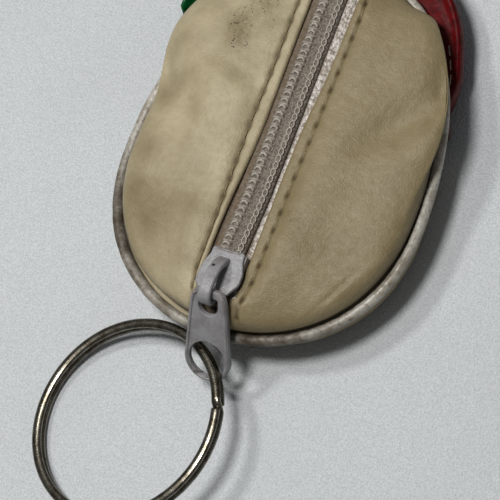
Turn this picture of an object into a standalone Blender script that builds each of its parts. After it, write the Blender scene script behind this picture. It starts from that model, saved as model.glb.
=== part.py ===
"""A small soft vinyl coin purse with a zip along its back and a split key ring on the zip's pull tab.

It lies on its padded front, zip side up. +Z is up, +Y runs along the zip away from the key ring, and
the origin is on the flat resting face, a little past the purse's widest line. Lengths are in metres.
"""

import math

import bmesh
import bpy
from mathutils import Matrix, Vector

MM = 0.001

# Outline of the seam that joins back and front, measured on the piping's centre line. It is
# widest at its own middle line, and its two lengths run from the origin
SEAM_HALF_WIDTH = 23.9 * MM
SEAM_NEAR_LENGTH = 26.05 * MM
SEAM_FAR_LENGTH = 32.8 * MM
SEAM_MIDDLE_Y = -3.4 * MM
SEAM_NEAR_POWER = 2.1
SEAM_FAR_POWER = 2.2
SEAM_HEIGHT = 7.2 * MM
STATIONS = 56

# Soft sheets
CLEARANCE = 0.3 * MM
VINYL = 0.8 * MM
LINING = 0.35 * MM
PADDING = 1.2 * MM
ALLOWANCE = 2.4 * MM

# Piping: a folded strip round a cord, its two legs sewn between back and front
PIPING_RADIUS = 0.85 * MM
PIPING_WALL = 0.25 * MM
PIPING_LEG = 3.2 * MM
PIPING_LEG_GAP = 0.2 * MM
PIPING_SIDES = 8
CORD_SIDES = 6

# Back and front shapes. Swell is how far both puff out past the seam towards the far end
BACK_RISE = 6.6 * MM
SIDE_CROWN_POWER = 3.4
ZIP_CROWN_POWER = 5.2
CROWN_CURVE = 0.45
CROWN_SPREAD = 9.0 * MM
VALLEY_SPREAD = 4.5 * MM
SWELL = 1.4 * MM
SWELL_START = 9.0 * MM
SWELL_END = 19.0 * MM
SWOLLEN_CROWN_SHARE = 0.8
FLAT_SHARE = 0.78
PADDING_SHARE = 0.74
PADDING_EDGE_SHARE = 0.06

# Colour pieces of the front
BAND_NEAR_EDGE = 12.4 * MM
BAND_WIDTH = 4.0 * MM

# Zip
TAPE = 0.4 * MM
TAPE_INNER_EDGE = 1.05 * MM
TAPE_OUTER_EDGE = 8.0 * MM
TAPE_TOP = 11.7 * MM
TAPE_END_SHARE = 0.9
TAPE_COLUMN_SHARE = 0.7
COIL_HALF_WIDTH = 2.15 * MM
COIL_SPINE = 1.3 * MM
COIL_HEIGHT = 1.2 * MM
TOOTH_PITCH = 1.11 * MM
TOOTH_WIDTH = 0.34 * MM
TOOTH_REACH = 0.4 * MM
FIRST_TOOTH_SHARE = 0.3
CHAIN_FAR_INSET = 4.8 * MM
MOUTH_NEAR_HALF_GAP = 3.25 * MM
MOUTH_FAR_HALF_GAP = 3.85 * MM
TOPSTITCH_INSET = 2.2 * MM
STITCH_PITCH = 2.9 * MM
THREAD_RADIUS = 0.2 * MM
STITCH_DIP = 0.06 * MM
TACK_RADIUS = 0.25 * MM
TACK_HALF_LENGTH = 2.9 * MM

# Slider, closed position, and its bridge. The inset runs from the seam's near end to its centre
SLIDER_LENGTH = 7.2 * MM
SLIDER_INSET = 7.55 * MM
SLIDER_HALF_WIDTH = 3.45 * MM
SLIDER_MOUTH_HALF_WIDTH = 2.9 * MM
SLIDER_NOSE_HALF_WIDTH = 2.3 * MM
PLATE = 0.7 * MM
SLOT_DROP = 0.95 * MM
FLANGE = 0.42 * MM
FLANGE_LENGTH_SHARE = 0.75
POST_HALF_WIDTH = 0.7 * MM
POST_LENGTH = 2.5 * MM
NOSE_MARGIN = 0.2 * MM
BRIDGE_HALF_WIDTH = 0.8 * MM
BRIDGE_STRAP = 0.7 * MM
BRIDGE_MOUTH_INSET = 0.7 * MM

# Pull tab
TAB = 1.1 * MM
TAB_SLOPE = math.radians(47.7)
TAB_REACH = 15.1 * MM
TAB_HEAD = 0.65 * MM
TAB_TOP_HALF_WIDTH = 3.3 * MM
TAB_END_RADIUS = 3.8 * MM
TAB_BIG_HOLE_RADIUS = 2.95 * MM
TAB_SMALL_HOLE_HALF_WIDTH = 1.6 * MM
TAB_SMALL_HOLE_END = 3.7 * MM
TAB_TURN_CLEARANCE = 1.1 * MM

# Split ring. It lies on the table clear of the seam in plan, and over the tab's end rim
RING_OUTER_RADIUS = 16.0 * MM
RING_WIRE_WIDTH = 1.5 * MM
RING_WIRE_HEIGHT = 0.98 * MM
RING_TURN_GAP = 0.12 * MM
RING_SEAM_GAP = 0.93 * MM
RING_HINGE_INSET = 0.9 * MM
RING_HINGE_RISE = 2.28 * MM
RING_CROSSING = math.radians(18.0)
RING_STEP = math.radians(9.0)
RING_END_GAP = math.radians(10.0)
RING_STEP_PLACE = math.radians(6.0)
RING_STATIONS = 60
RING_SECTION_SIDES = 8
RING_SECTION_POWER = 0.7

OVERRUN = 2.0 * MM

# Places worked out from the sizes above
FLANGE_HALF = PIPING_LEG_GAP / 2 + PIPING_WALL
BACK_SEAM = SEAM_HEIGHT + FLANGE_HALF + CLEARANCE
FRONT_SEAM = SEAM_HEIGHT - FLANGE_HALF - CLEARANCE
FOLD_INSET = PIPING_RADIUS + VINYL / 8
FOLD_LEVEL = TAPE_TOP + CLEARANCE + VINYL
COIL_BOTTOM = TAPE_TOP + CLEARANCE
COIL_TOP = COIL_BOTTOM + COIL_HEIGHT
TOP_PLATE_BOTTOM = COIL_TOP + CLEARANCE
TOP_PLATE_TOP = TOP_PLATE_BOTTOM + PLATE
BOTTOM_PLATE_TOP = TAPE_TOP - SLOT_DROP
BOTTOM_PLATE_BOTTOM = BOTTOM_PLATE_TOP - PLATE
SLIDER_CENTRE_Y = SLIDER_INSET - SEAM_NEAR_LENGTH
NOSE_Y = SLIDER_CENTRE_Y - SLIDER_LENGTH / 2
MOUTH_Y = SLIDER_CENTRE_Y + SLIDER_LENGTH / 2
POST_NEAR_Y = NOSE_Y + NOSE_MARGIN
POST_FAR_Y = POST_NEAR_Y + POST_LENGTH
CHAIN_NEAR_END = POST_FAR_Y + CLEARANCE
CHAIN_FAR_END = SEAM_FAR_LENGTH - CHAIN_FAR_INSET
PIVOT = Vector((0, NOSE_Y - NOSE_MARGIN, TOP_PLATE_TOP + TAB_TURN_CLEARANCE))
BRIDGE_INNER_TOP = PIVOT.z + TAB_TURN_CLEARANCE
BRIDGE_TOP = BRIDGE_INNER_TOP + BRIDGE_STRAP
TAB_DIRECTION = Vector((0, -math.cos(TAB_SLOPE), -math.sin(TAB_SLOPE)))
TAB_RIM_RADIUS = (TAB_END_RADIUS + TAB_BIG_HOLE_RADIUS) / 2
TAB_ROUND_CENTRE = PIVOT + TAB_DIRECTION * (TAB_REACH - TAB_END_RADIUS)
RING_HINGE = (
    TAB_ROUND_CENTRE
    + TAB_DIRECTION * TAB_RIM_RADIUS * math.cos(RING_CROSSING)
    + Vector((TAB_RIM_RADIUS * math.sin(RING_CROSSING), 0, 0))
)
RING_MEAN_RADIUS = RING_OUTER_RADIUS - RING_WIRE_WIDTH / 2
RING_PITCH = RING_WIRE_HEIGHT + RING_TURN_GAP
RING_HALF_THICKNESS = RING_WIRE_HEIGHT / 2 + RING_PITCH / 2
# The ring's centre, seen from above, is a known way from the purse's middle and from the hinge
RING_REACH = SEAM_NEAR_LENGTH + RING_SEAM_GAP + RING_OUTER_RADIUS
RING_ARM = RING_MEAN_RADIUS - RING_HINGE_INSET
HINGE_REACH = math.hypot(RING_HINGE.x, RING_HINGE.y)
RING_TURN = math.acos(
    (HINGE_REACH**2 + RING_REACH**2 - RING_ARM**2) / (2 * HINGE_REACH * RING_REACH)
)
RING_BEARING = math.atan2(RING_HINGE.y, RING_HINGE.x) - RING_TURN
RING_CENTRE_X = RING_REACH * math.cos(RING_BEARING)
RING_TILT = math.asin(
    (RING_HINGE.z + RING_HINGE_RISE - RING_HALF_THICKNESS)
    / (RING_OUTER_RADIUS + RING_HINGE.x - RING_CENTRE_X)
)
RING_CENTRE = Vector(
    (
        RING_CENTRE_X,
        RING_REACH * math.sin(RING_BEARING),
        RING_OUTER_RADIUS * math.sin(RING_TILT) + RING_HALF_THICKNESS * math.cos(RING_TILT),
    )
)


def clear_scene():
    for item in list(bpy.data.objects):
        bpy.data.objects.remove(item, do_unlink=True)


def new_collection(name):
    collection = bpy.data.collections.new(name)
    bpy.context.scene.collection.children.link(collection)
    return collection


def new_material(name, colour, roughness, metallic=0.0):
    """A plain surface. The colour is given as screen values from 0 to 1."""
    material = bpy.data.materials.new(name)
    material.use_nodes = True
    shader = material.node_tree.nodes["Principled BSDF"]
    shader.inputs["Base Color"].default_value = (*[share**2.2 for share in colour], 1)
    shader.inputs["Roughness"].default_value = roughness
    shader.inputs["Metallic"].default_value = metallic
    return material


def object_from(bm, name, collection, material=None):
    mesh = bpy.data.meshes.new(name)
    bm.to_mesh(mesh)
    bm.free()
    item = bpy.data.objects.new(name, mesh)
    collection.objects.link(item)
    if material:
        mesh.materials.append(material)
    return item


def cutter_look(item):
    item.hide_render = True
    item.display_type = "WIRE"
    return item


def shade(item, smooth_below=40.0):
    item.data.shade_smooth()
    item.data.set_sharp_from_angle(angle=math.radians(smooth_below))


def smooth_step(value, start, end):
    share = min(max((value - start) / (end - start), 0), 1)
    return share * share * (3 - 2 * share)


def raised(value, power):
    return math.copysign(abs(value) ** power, value)


def half_outline(along):
    """Length and power of the half of the seam's outline on this side of its middle line."""
    if along < 0:
        return SEAM_NEAR_LENGTH + SEAM_MIDDLE_Y, SEAM_NEAR_POWER
    return SEAM_FAR_LENGTH - SEAM_MIDDLE_Y, SEAM_FAR_POWER


def seam_point(angle, share=1.0):
    """A point of the seam's outline, or of that outline scaled towards its middle."""
    length, power = half_outline(math.sin(angle))
    x = raised(math.cos(angle), 2 / power) * SEAM_HALF_WIDTH
    y = raised(math.sin(angle), 2 / power) * length
    return Vector((x * share, SEAM_MIDDLE_Y + y * share, 0))


def seam_outward(angle):
    step = math.pi / 200
    along = seam_point(angle + step) - seam_point(angle - step)
    return Vector((along.y, -along.x, 0)).normalized()


def seam_share(x, y):
    """How far out a place lies: 0 at the centre, 1 on the seam."""
    along = y - SEAM_MIDDLE_Y
    length, power = half_outline(along)
    return ((abs(x) / SEAM_HALF_WIDTH) ** power + (abs(along) / length) ** power) ** (1 / power)


def station_angles():
    return [2 * math.pi * station / STATIONS for station in range(STATIONS)]


def swell(y):
    return SWELL * smooth_step(y, SWELL_START, SWELL_END)


def offset_ring(outward, height, swell_share=0.0, lift=0.0):
    """Points along the seam's outline, moved outwards and, where the purse swells, further still."""
    points = []
    for angle in station_angles():
        base = seam_point(angle)
        extra = swell(base.y)
        point = base + seam_outward(angle) * (outward + extra * swell_share)
        points.append(Vector((point.x, point.y, height + extra * lift)))
    return points


def share_ring(share, height):
    """The seam's outline scaled towards the centre, at one height."""
    return [seam_point(angle, share) + Vector((0, 0, height)) for angle in station_angles()]


def back_height(x, y):
    """Outer face of the back: crowned, lower at the fold edges beside the zip."""
    share = min(seam_share(x, y), 1)
    near_zip = math.exp(-((x / CROWN_SPREAD) ** 2))
    power = SIDE_CROWN_POWER + (ZIP_CROWN_POWER - SIDE_CROWN_POWER) * near_zip
    dome = BACK_SEAM + BACK_RISE * (1 - share**power) ** CROWN_CURVE
    past_fold = max(abs(x) - MOUTH_NEAR_HALF_GAP, 0)
    valley = math.exp(-((past_fold / VALLEY_SPREAD) ** 2))
    return dome - max(dome - FOLD_LEVEL - CLEARANCE / 4, 0) * valley


def under_back(x, y, depth):
    """The place at this depth under the back's outer face, square to it."""
    step = VINYL / 8
    face = Vector((x, y, back_height(x, y)))
    slope_x = (back_height(x + step, y) - back_height(x - step, y)) / (2 * step)
    slope_y = (back_height(x, y + step) - back_height(x, y - step)) / (2 * step)
    return face - Vector((-slope_x, -slope_y, 1)).normalized() * depth


def loft(rings, flip=False, start_tip=None, end_tip=None, around=True):
    """A surface through rings of points, with an optional point closing each end."""
    bm = bmesh.new()
    rows = [[bm.verts.new(point) for point in ring] for ring in rings]
    count = len(rows[0])
    spans = range(count) if around else range(count - 1)
    for row, following in zip(rows, rows[1:]):
        for i in spans:
            j = (i + 1) % count
            bm.faces.new((row[i], row[j], following[j], following[i]))
    if end_tip is not None:
        tip = bm.verts.new(end_tip)
        for i in spans:
            bm.faces.new((rows[-1][i], rows[-1][(i + 1) % count], tip))
    if start_tip is not None:
        tip = bm.verts.new(start_tip)
        for i in spans:
            bm.faces.new((rows[0][(i + 1) % count], rows[0][i], tip))
    if flip:
        bmesh.ops.reverse_faces(bm, faces=bm.faces)
    return bm


def thicken(item, thickness):
    modifier = item.modifiers.new("thickness", "SOLIDIFY")
    modifier.thickness = thickness
    modifier.offset = -1
    modifier.use_even_offset = True
    return modifier


def boolean(item, other, operation):
    modifier = item.modifiers.new(operation.lower(), "BOOLEAN")
    modifier.operation = operation
    modifier.object = other
    modifier.solver = "EXACT"


def slab(name, outlines, bottom, top, collection, material=None):
    """A flat outline, with any holes, as a solid between two heights. Each outline is a list of (x, y)."""
    curve = bpy.data.curves.new(name, "CURVE")
    curve.dimensions = "2D"
    curve.fill_mode = "BOTH"
    curve.extrude = (top - bottom) / 2
    for outline in outlines:
        spline = curve.splines.new("POLY")
        spline.points.add(len(outline) - 1)
        for point, (x, y) in zip(spline.points, outline):
            point.co = (x, y, 0, 1)
        spline.use_cyclic_u = True
    return meshed(name, curve, Matrix.Translation((0, 0, (top + bottom) / 2)), collection, material)


def meshed(name, curve, place, collection, material):
    """The curve as a welded mesh object, its shape moved by the matrix."""
    guide = bpy.data.objects.new(name + "_curve", curve)
    collection.objects.link(guide)
    bpy.context.view_layer.update()
    graph = bpy.context.evaluated_depsgraph_get()
    mesh = bpy.data.meshes.new_from_object(guide.evaluated_get(graph))
    bpy.data.objects.remove(guide, do_unlink=True)
    bm = bmesh.new()
    bm.from_mesh(mesh)
    bpy.data.meshes.remove(mesh)
    bmesh.ops.remove_doubles(bm, verts=bm.verts, dist=MM / 1000)
    bmesh.ops.transform(bm, matrix=place, verts=bm.verts)
    bmesh.ops.recalc_face_normals(bm, faces=bm.faces)
    return object_from(bm, name, collection, material)


def wire(name, points, radius, collection, material, closed=False, resolution=1):
    """A round thread or cord through the points."""
    curve = bpy.data.curves.new(name, "CURVE")
    curve.dimensions = "3D"
    curve.bevel_depth = radius
    curve.bevel_resolution = resolution
    curve.use_fill_caps = True
    spline = curve.splines.new("POLY")
    spline.points.add(len(points) - 1)
    for point, place in zip(spline.points, points):
        point.co = (*place, 1)
    spline.use_cyclic_u = closed
    return meshed(name, curve, Matrix.Identity(4), collection, material)


def set_origin(item, place):
    """Moves the object's origin, not its shape."""
    item.data.transform(Matrix.Translation(-place))
    item.location = place


def hang_on(item, parent):
    bpy.context.view_layer.update()
    item.parent = parent
    item.matrix_parent_inverse = parent.matrix_world.inverted()


def half_gap(y):
    """Half the width between the fold edges beside the zip, which open a little towards the far end."""
    share = (y + SEAM_NEAR_LENGTH) / (SEAM_NEAR_LENGTH + SEAM_FAR_LENGTH)
    return MOUTH_NEAR_HALF_GAP + (MOUTH_FAR_HALF_GAP - MOUTH_NEAR_HALF_GAP) * share


def back_surface():
    """The whole back before the zip splits it: seam allowance, rolled edge and crown."""
    # Each row of the rolled edge: inset of the piping's radius, rise, swell outwards and swell upwards
    edge_shares = ((0.5, 0.14, 1.0, 0.2), (0.85, 0.3, 0.9, 0.0))
    crown_shares = (0.955, 0.91, 0.85, 0.76, 0.64, 0.48, 0.3, 0.14)
    rings = [
        offset_ring(-FOLD_INSET - ALLOWANCE, BACK_SEAM),
        offset_ring(-FOLD_INSET, BACK_SEAM),
    ]
    for inset, rise, outward, upward in edge_shares:
        height = BACK_SEAM + BACK_RISE * rise
        rings.append(offset_ring(-inset * PIPING_RADIUS, height, outward, upward))
    for share in crown_shares:
        rings.append(swollen_ring(share, crown_shares[0]))
    return loft(rings, end_tip=Vector((0, SEAM_MIDDLE_Y, back_height(0, SEAM_MIDDLE_Y))))


def swollen_ring(share, widest):
    """A ring of the crown, pushed out a little where the purse swells."""
    points = []
    for angle in station_angles():
        base = seam_point(angle)
        point = seam_point(angle, share)
        height = back_height(point.x, point.y)
        outward = swell(base.y) * SWOLLEN_CROWN_SHARE * (share / widest) ** 4
        point += seam_outward(angle) * outward
        points.append(Vector((point.x, point.y, height)))
    return points


def make_back(collection, cutters, vinyl):
    far = SEAM_FAR_LENGTH + SWELL + OVERRUN
    near = -SEAM_NEAR_LENGTH - OVERRUN
    wide = SEAM_HALF_WIDTH + SWELL + OVERRUN
    for name, side in (("back_panel_left", -1), ("back_panel_right", 1)):
        panel = object_from(back_surface(), name, collection, vinyl)
        thicken(panel, VINYL)
        outline = [
            (side * half_gap(near), near),
            (side * half_gap(far), far),
            (-side * wide, far),
            (-side * wide, near),
        ]
        cutter = slab(name + "_cutter", [outline], 0, BRIDGE_TOP, cutters)
        boolean(panel, cutter_look(cutter), "DIFFERENCE")
        shade(panel)


def front_surface():
    """The front before it is cut into its colours: seam allowance, bulging wall and flat bottom."""
    # Each row of the wall: inset in piping radii, height and swell
    wall_shares = (
        (0.35, 0.84, 1.0),
        (0.2, 0.57, 1.0),
        (0.85, 0.31, 0.9),
        (2.2, 0.12, 0.6),
        (3.8, 0.03, 0.3),
    )
    rings = [
        offset_ring(-FOLD_INSET - ALLOWANCE, FRONT_SEAM),
        offset_ring(-FOLD_INSET, FRONT_SEAM),
    ]
    for inset, height, outward in wall_shares:
        rings.append(offset_ring(-inset * PIPING_RADIUS, FRONT_SEAM * height, outward))
    rings.append(share_ring(FLAT_SHARE, 0))
    return loft(rings, flip=True, end_tip=Vector((0, SEAM_MIDDLE_Y, 0)))


def make_front(collection, cutters, looks):
    """The front's four colours, each the part of one shell inside its own box."""
    band_far_edge = BAND_NEAR_EDGE + BAND_WIDTH
    half_seam = CLEARANCE / 2
    wide = SEAM_HALF_WIDTH + SWELL + OVERRUN
    near = -SEAM_NEAR_LENGTH - OVERRUN
    far = SEAM_FAR_LENGTH + SWELL + OVERRUN
    pieces = (
        ("front_panel_cream", -wide, wide, near, BAND_NEAR_EDGE - half_seam),
        ("front_band_brown", -wide, wide, BAND_NEAR_EDGE + half_seam, band_far_edge - half_seam),
        ("front_panel_green", -wide, -half_seam, band_far_edge + half_seam, far),
        ("front_panel_red", half_seam, wide, band_far_edge + half_seam, far),
    )
    for name, left, right, low, high in pieces:
        panel = object_from(front_surface(), name, collection, looks[name])
        thicken(panel, VINYL)
        outline = [(left, low), (right, low), (right, high), (left, high)]
        cutter = slab(name + "_cutter", [outline], -OVERRUN, SEAM_HEIGHT, cutters)
        boolean(panel, cutter_look(cutter), "INTERSECT")
        shade(panel)


def make_padding(collection, foam):
    bottom = VINYL + CLEARANCE
    edge = PADDING / 3
    inner_share = PADDING_SHARE - PADDING_EDGE_SHARE
    rings = [
        share_ring(inner_share, bottom),
        share_ring(PADDING_SHARE, bottom + edge),
        share_ring(PADDING_SHARE, bottom + PADDING - edge),
        share_ring(inner_share, bottom + PADDING),
    ]
    tips = Vector((0, SEAM_MIDDLE_Y, bottom)), Vector((0, SEAM_MIDDLE_Y, bottom + PADDING))
    pad = object_from(loft(rings, start_tip=tips[0], end_tip=tips[1]), "front_padding", collection, foam)
    shade(pad)


def make_lining(collection, cloth):
    """A thin cup inside the front, from the seam allowance down over the padding."""
    floor = VINYL + CLEARANCE + PADDING + CLEARANCE
    top = FRONT_SEAM - VINYL - CLEARANCE
    # Each row of the cup's side: inset in seam allowances, and height
    side_shares = ((0.0, 1.0), (0.0, 0.5), (0.33, 0.15), (1.0, 0.0))
    rings = []
    for inset, height in side_shares:
        outward = -FOLD_INSET - VINYL - inset * ALLOWANCE
        rings.append(offset_ring(outward, floor + (top - floor) * height))
    rings.append(share_ring(PADDING_SHARE, floor))
    lining = object_from(
        loft(rings, flip=True, end_tip=Vector((0, SEAM_MIDDLE_Y, floor))),
        "front_lining",
        collection,
        cloth,
    )
    thicken(lining, LINING)
    shade(lining)


def piping_section():
    """The folded strip's section as (outward, up), once round: outer side, then back along the inner."""
    inner_radius = PIPING_RADIUS - PIPING_WALL
    section = [(-PIPING_LEG, FLANGE_HALF)]
    start = math.pi - math.asin(FLANGE_HALF / PIPING_RADIUS)
    for step in range(PIPING_SIDES + 1):
        angle = start * (1 - 2 * step / PIPING_SIDES)
        section.append((PIPING_RADIUS * math.cos(angle), PIPING_RADIUS * math.sin(angle)))
    section.append((-PIPING_LEG, -FLANGE_HALF))
    section.append((-PIPING_LEG, -PIPING_LEG_GAP / 2))
    start = math.pi - math.asin(PIPING_LEG_GAP / 2 / inner_radius)
    for step in range(CORD_SIDES + 1):
        angle = -start * (1 - 2 * step / CORD_SIDES)
        section.append((inner_radius * math.cos(angle), inner_radius * math.sin(angle)))
    section.append((-PIPING_LEG, PIPING_LEG_GAP / 2))
    return section


def make_piping(collection, vinyl, cord):
    angles = station_angles()
    rings = []
    for angle in [*angles, angles[0]]:
        outward = seam_outward(angle)
        base = seam_point(angle) + Vector((0, 0, SEAM_HEIGHT))
        rings.append([base + outward * out + Vector((0, 0, up)) for out, up in piping_section()])
    bm = loft(rings)
    bmesh.ops.remove_doubles(bm, verts=bm.verts, dist=MM / 1000)
    bmesh.ops.recalc_face_normals(bm, faces=bm.faces)
    shade(object_from(bm, "piping_cover", collection, vinyl))
    points = [seam_point(angle) + Vector((0, 0, SEAM_HEIGHT)) for angle in angles]
    radius = PIPING_RADIUS - PIPING_WALL - CLEARANCE
    shade(wire("piping_cord", points, radius, collection, cord, closed=True))


def make_tapes(collection, cloth):
    """The zip's two tapes: flat along the chain, and turned down into the seam at both ends."""
    end_near = -SEAM_NEAR_LENGTH * TAPE_END_SHARE
    end_far = SEAM_FAR_LENGTH * TAPE_END_SHARE
    turn_near = NOSE_Y + NOSE_MARGIN
    turn_far = CHAIN_FAR_END
    rows = [end_near + (turn_near - end_near) * step / 4 for step in range(4)]
    rows += [turn_near, turn_near / 2, 0, turn_far / 2, turn_far]
    rows += [turn_far + (end_far - turn_far) * step / 4 for step in range(1, 5)]
    middle_column = TAPE_OUTER_EDGE * TAPE_COLUMN_SHARE
    columns = (TAPE_INNER_EDGE, MOUTH_NEAR_HALF_GAP, middle_column, TAPE_OUTER_EDGE)
    depth = VINYL + CLEARANCE
    for name, side in (("zip_tape_left", -1), ("zip_tape_right", 1)):
        rings = []
        for y in rows:
            ring = []
            for x in columns:
                place = under_back(x, y, depth)
                if place.z > TAPE_TOP:
                    place = Vector((x, y, TAPE_TOP))
                ring.append(Vector((side * place.x, place.y, place.z)))
            rings.append(ring)
        tape = object_from(loft(rings, flip=side < 0, around=False), name, collection, cloth)
        thicken(tape, TAPE)


def make_chain(collection, nylon):
    """The two halves of the chain, as combs whose teeth pass between each other."""
    count = int((CHAIN_FAR_END - CHAIN_NEAR_END) / TOOTH_PITCH)
    inner = COIL_HALF_WIDTH - COIL_SPINE
    for name, side, phase in (("zip_coil_left", -1, 0.0), ("zip_coil_right", 1, 0.5)):
        outline = [(side * COIL_HALF_WIDTH, CHAIN_FAR_END), (side * COIL_HALF_WIDTH, CHAIN_NEAR_END)]
        outline.append((side * inner, CHAIN_NEAR_END))
        for tooth in range(count):
            middle = CHAIN_NEAR_END + (tooth + FIRST_TOOTH_SHARE + phase) * TOOTH_PITCH
            outline += [
                (side * inner, middle - TOOTH_WIDTH / 2),
                (-side * TOOTH_REACH, middle - TOOTH_WIDTH / 2),
                (-side * TOOTH_REACH, middle + TOOTH_WIDTH / 2),
                (side * inner, middle + TOOTH_WIDTH / 2),
            ]
        outline.append((side * inner, CHAIN_FAR_END))
        slab(name, [outline], COIL_BOTTOM, COIL_TOP, collection, nylon)


def make_threads(collection, thread):
    """Topstitching beside the zip, dipping at each needle hole, and a bar of thread across each end."""
    near = NOSE_Y - CLEARANCE
    far = CHAIN_FAR_END
    count = int((far - near) / STITCH_PITCH)
    for name, side in (("topstitch_left", -1), ("topstitch_right", 1)):
        points = []
        for step in range(2 * count + 1):
            y = near + step * STITCH_PITCH / 2
            curve_in = smooth_step(near + 2 * STITCH_PITCH - y, 0, 2 * STITCH_PITCH)
            x = half_gap(y) + TOPSTITCH_INSET - (TOPSTITCH_INSET - 4 * THREAD_RADIUS) * curve_in
            dip = STITCH_DIP if step % 2 == 0 else 0
            lift = -(CLEARANCE + THREAD_RADIUS - dip)
            place = under_back(x, y, lift)
            points.append((side * place.x, place.y, place.z))
        shade(wire(name, points, THREAD_RADIUS, collection, thread))
    tape_depth = VINYL + CLEARANCE
    for name, y in (
        ("near_end_tack", NOSE_Y - 2 * CLEARANCE),
        ("far_end_tack", CHAIN_FAR_END + 2 * CLEARANCE),
    ):
        tape_height = min(under_back(MOUTH_NEAR_HALF_GAP, y, tape_depth).z, TAPE_TOP)
        height = tape_height + CLEARANCE + TACK_RADIUS
        ends = [(-TACK_HALF_LENGTH, y, height), (0, y, height), (TACK_HALF_LENGTH, y, height)]
        shade(wire(name, ends, TACK_RADIUS, collection, thread, resolution=2))


def slider_outline():
    """Plan of a slider plate: narrow square mouth, shoulders, and a rounded nose."""
    mouth_end_share, shoulder_shares, nose_share, tip_width_share = 0.22, (0.5, 0.72), 0.94, 0.7
    half = [
        (SLIDER_MOUTH_HALF_WIDTH, MOUTH_Y),
        (SLIDER_MOUTH_HALF_WIDTH, MOUTH_Y - SLIDER_LENGTH * mouth_end_share),
        (SLIDER_HALF_WIDTH, MOUTH_Y - SLIDER_LENGTH * shoulder_shares[0]),
        (SLIDER_HALF_WIDTH, MOUTH_Y - SLIDER_LENGTH * shoulder_shares[1]),
        (SLIDER_NOSE_HALF_WIDTH, MOUTH_Y - SLIDER_LENGTH * nose_share),
        (SLIDER_NOSE_HALF_WIDTH * tip_width_share, NOSE_Y),
    ]
    return half + [(-x, y) for x, y in reversed(half)]


def bridge_outline():
    """Side view of the bridge, as (y, z): a strap from the mouth end over to a loop round the tab's bar."""
    foot = TOP_PLATE_BOTTOM + PLATE / 2
    mouth = MOUTH_Y - BRIDGE_MOUTH_INSET
    loop_inner = PIVOT.y - TAB_TURN_CLEARANCE
    loop_outer = loop_inner - BRIDGE_STRAP
    rise = BRIDGE_TOP - TOP_PLATE_TOP
    # Each corner's points, as (along, down) shares of the rise from where the strap's edges would meet
    outer_mouth_shares = ((0.1, 0.65), (0.5, 0.1), (0.9, 0.0))
    outer_loop_shares = ((0.45, 0.0), (0.13, 0.14))
    inner_loop_shares = ((0.1, 0.08), (0.4, 0.0))
    inner_mouth_shares = ((0.75, 0.0), (0.35, 0.1))
    corner = BRIDGE_STRAP / 2
    inner_mouth = mouth - BRIDGE_STRAP
    outline = [(mouth, foot)]
    outline += [(mouth - rise * along, BRIDGE_TOP - rise * down) for along, down in outer_mouth_shares]
    outline += [(loop_outer + rise * along, BRIDGE_TOP - rise * down) for along, down in outer_loop_shares]
    outline += [
        (loop_outer, PIVOT.z),
        (loop_outer, TOP_PLATE_TOP),
        (loop_inner, TOP_PLATE_BOTTOM),
        (NOSE_Y + PLATE / 2, TOP_PLATE_BOTTOM),
        (NOSE_Y + PLATE / 2, TOP_PLATE_TOP),
        (loop_inner + corner, TOP_PLATE_TOP),
        (loop_inner, TOP_PLATE_TOP + corner),
        (loop_inner, PIVOT.z),
    ]
    for along, down in inner_loop_shares:
        outline.append((loop_inner + rise * along, BRIDGE_INNER_TOP - rise * down))
    for along, down in inner_mouth_shares:
        outline.append((inner_mouth - rise * along, BRIDGE_INNER_TOP - rise * down))
    outline.append((inner_mouth, foot))
    return outline


def make_slider(collection, cutters, zinc):
    """Two plates joined by a post at the nose, with side flanges over the tapes and a bridge on top."""
    slider = slab("zip_slider", [slider_outline()], TOP_PLATE_BOTTOM, TOP_PLATE_TOP, collection, zinc)
    parts = [
        slab("slider_bottom", [slider_outline()], BOTTOM_PLATE_BOTTOM, BOTTOM_PLATE_TOP, cutters)
    ]
    post_middle = (POST_NEAR_Y + POST_FAR_Y) / 2
    post = [
        (0, POST_NEAR_Y),
        (POST_HALF_WIDTH, post_middle),
        (0, POST_FAR_Y),
        (-POST_HALF_WIDTH, post_middle),
    ]
    sink = PLATE / 2
    parts.append(
        slab("slider_post", [post], BOTTOM_PLATE_TOP - sink, TOP_PLATE_BOTTOM + sink, cutters)
    )
    inner = COIL_HALF_WIDTH + CLEARANCE
    flange_near = MOUTH_Y - SLIDER_LENGTH * FLANGE_LENGTH_SHARE
    flange_far = MOUTH_Y - NOSE_MARGIN
    for name, side in (("slider_flange_left", -1), ("slider_flange_right", 1)):
        outline = [
            (side * inner, flange_near),
            (side * (inner + FLANGE), flange_near),
            (side * (inner + FLANGE), flange_far),
            (side * inner, flange_far),
        ]
        parts.append(slab(name, [outline], COIL_BOTTOM, TOP_PLATE_BOTTOM + sink, cutters))
    bridge = slab("slider_bridge", [bridge_outline()], -BRIDGE_HALF_WIDTH, BRIDGE_HALF_WIDTH, cutters)
    bridge.data.transform(Matrix(((0, 0, 1, 0), (1, 0, 0, 0), (0, 1, 0, 0), (0, 0, 0, 1))))
    parts.append(bridge)
    for part in parts:
        boolean(slider, cutter_look(part), "UNION")
    set_origin(slider, Vector((0, SLIDER_CENTRE_Y, TAPE_TOP)))
    return slider


def arc(centre, radius, start, end, steps):
    points = []
    for step in range(steps + 1):
        angle = start + (end - start) * step / steps
        points.append((centre[0] + radius * math.cos(angle), centre[1] + radius * math.sin(angle)))
    return points


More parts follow.
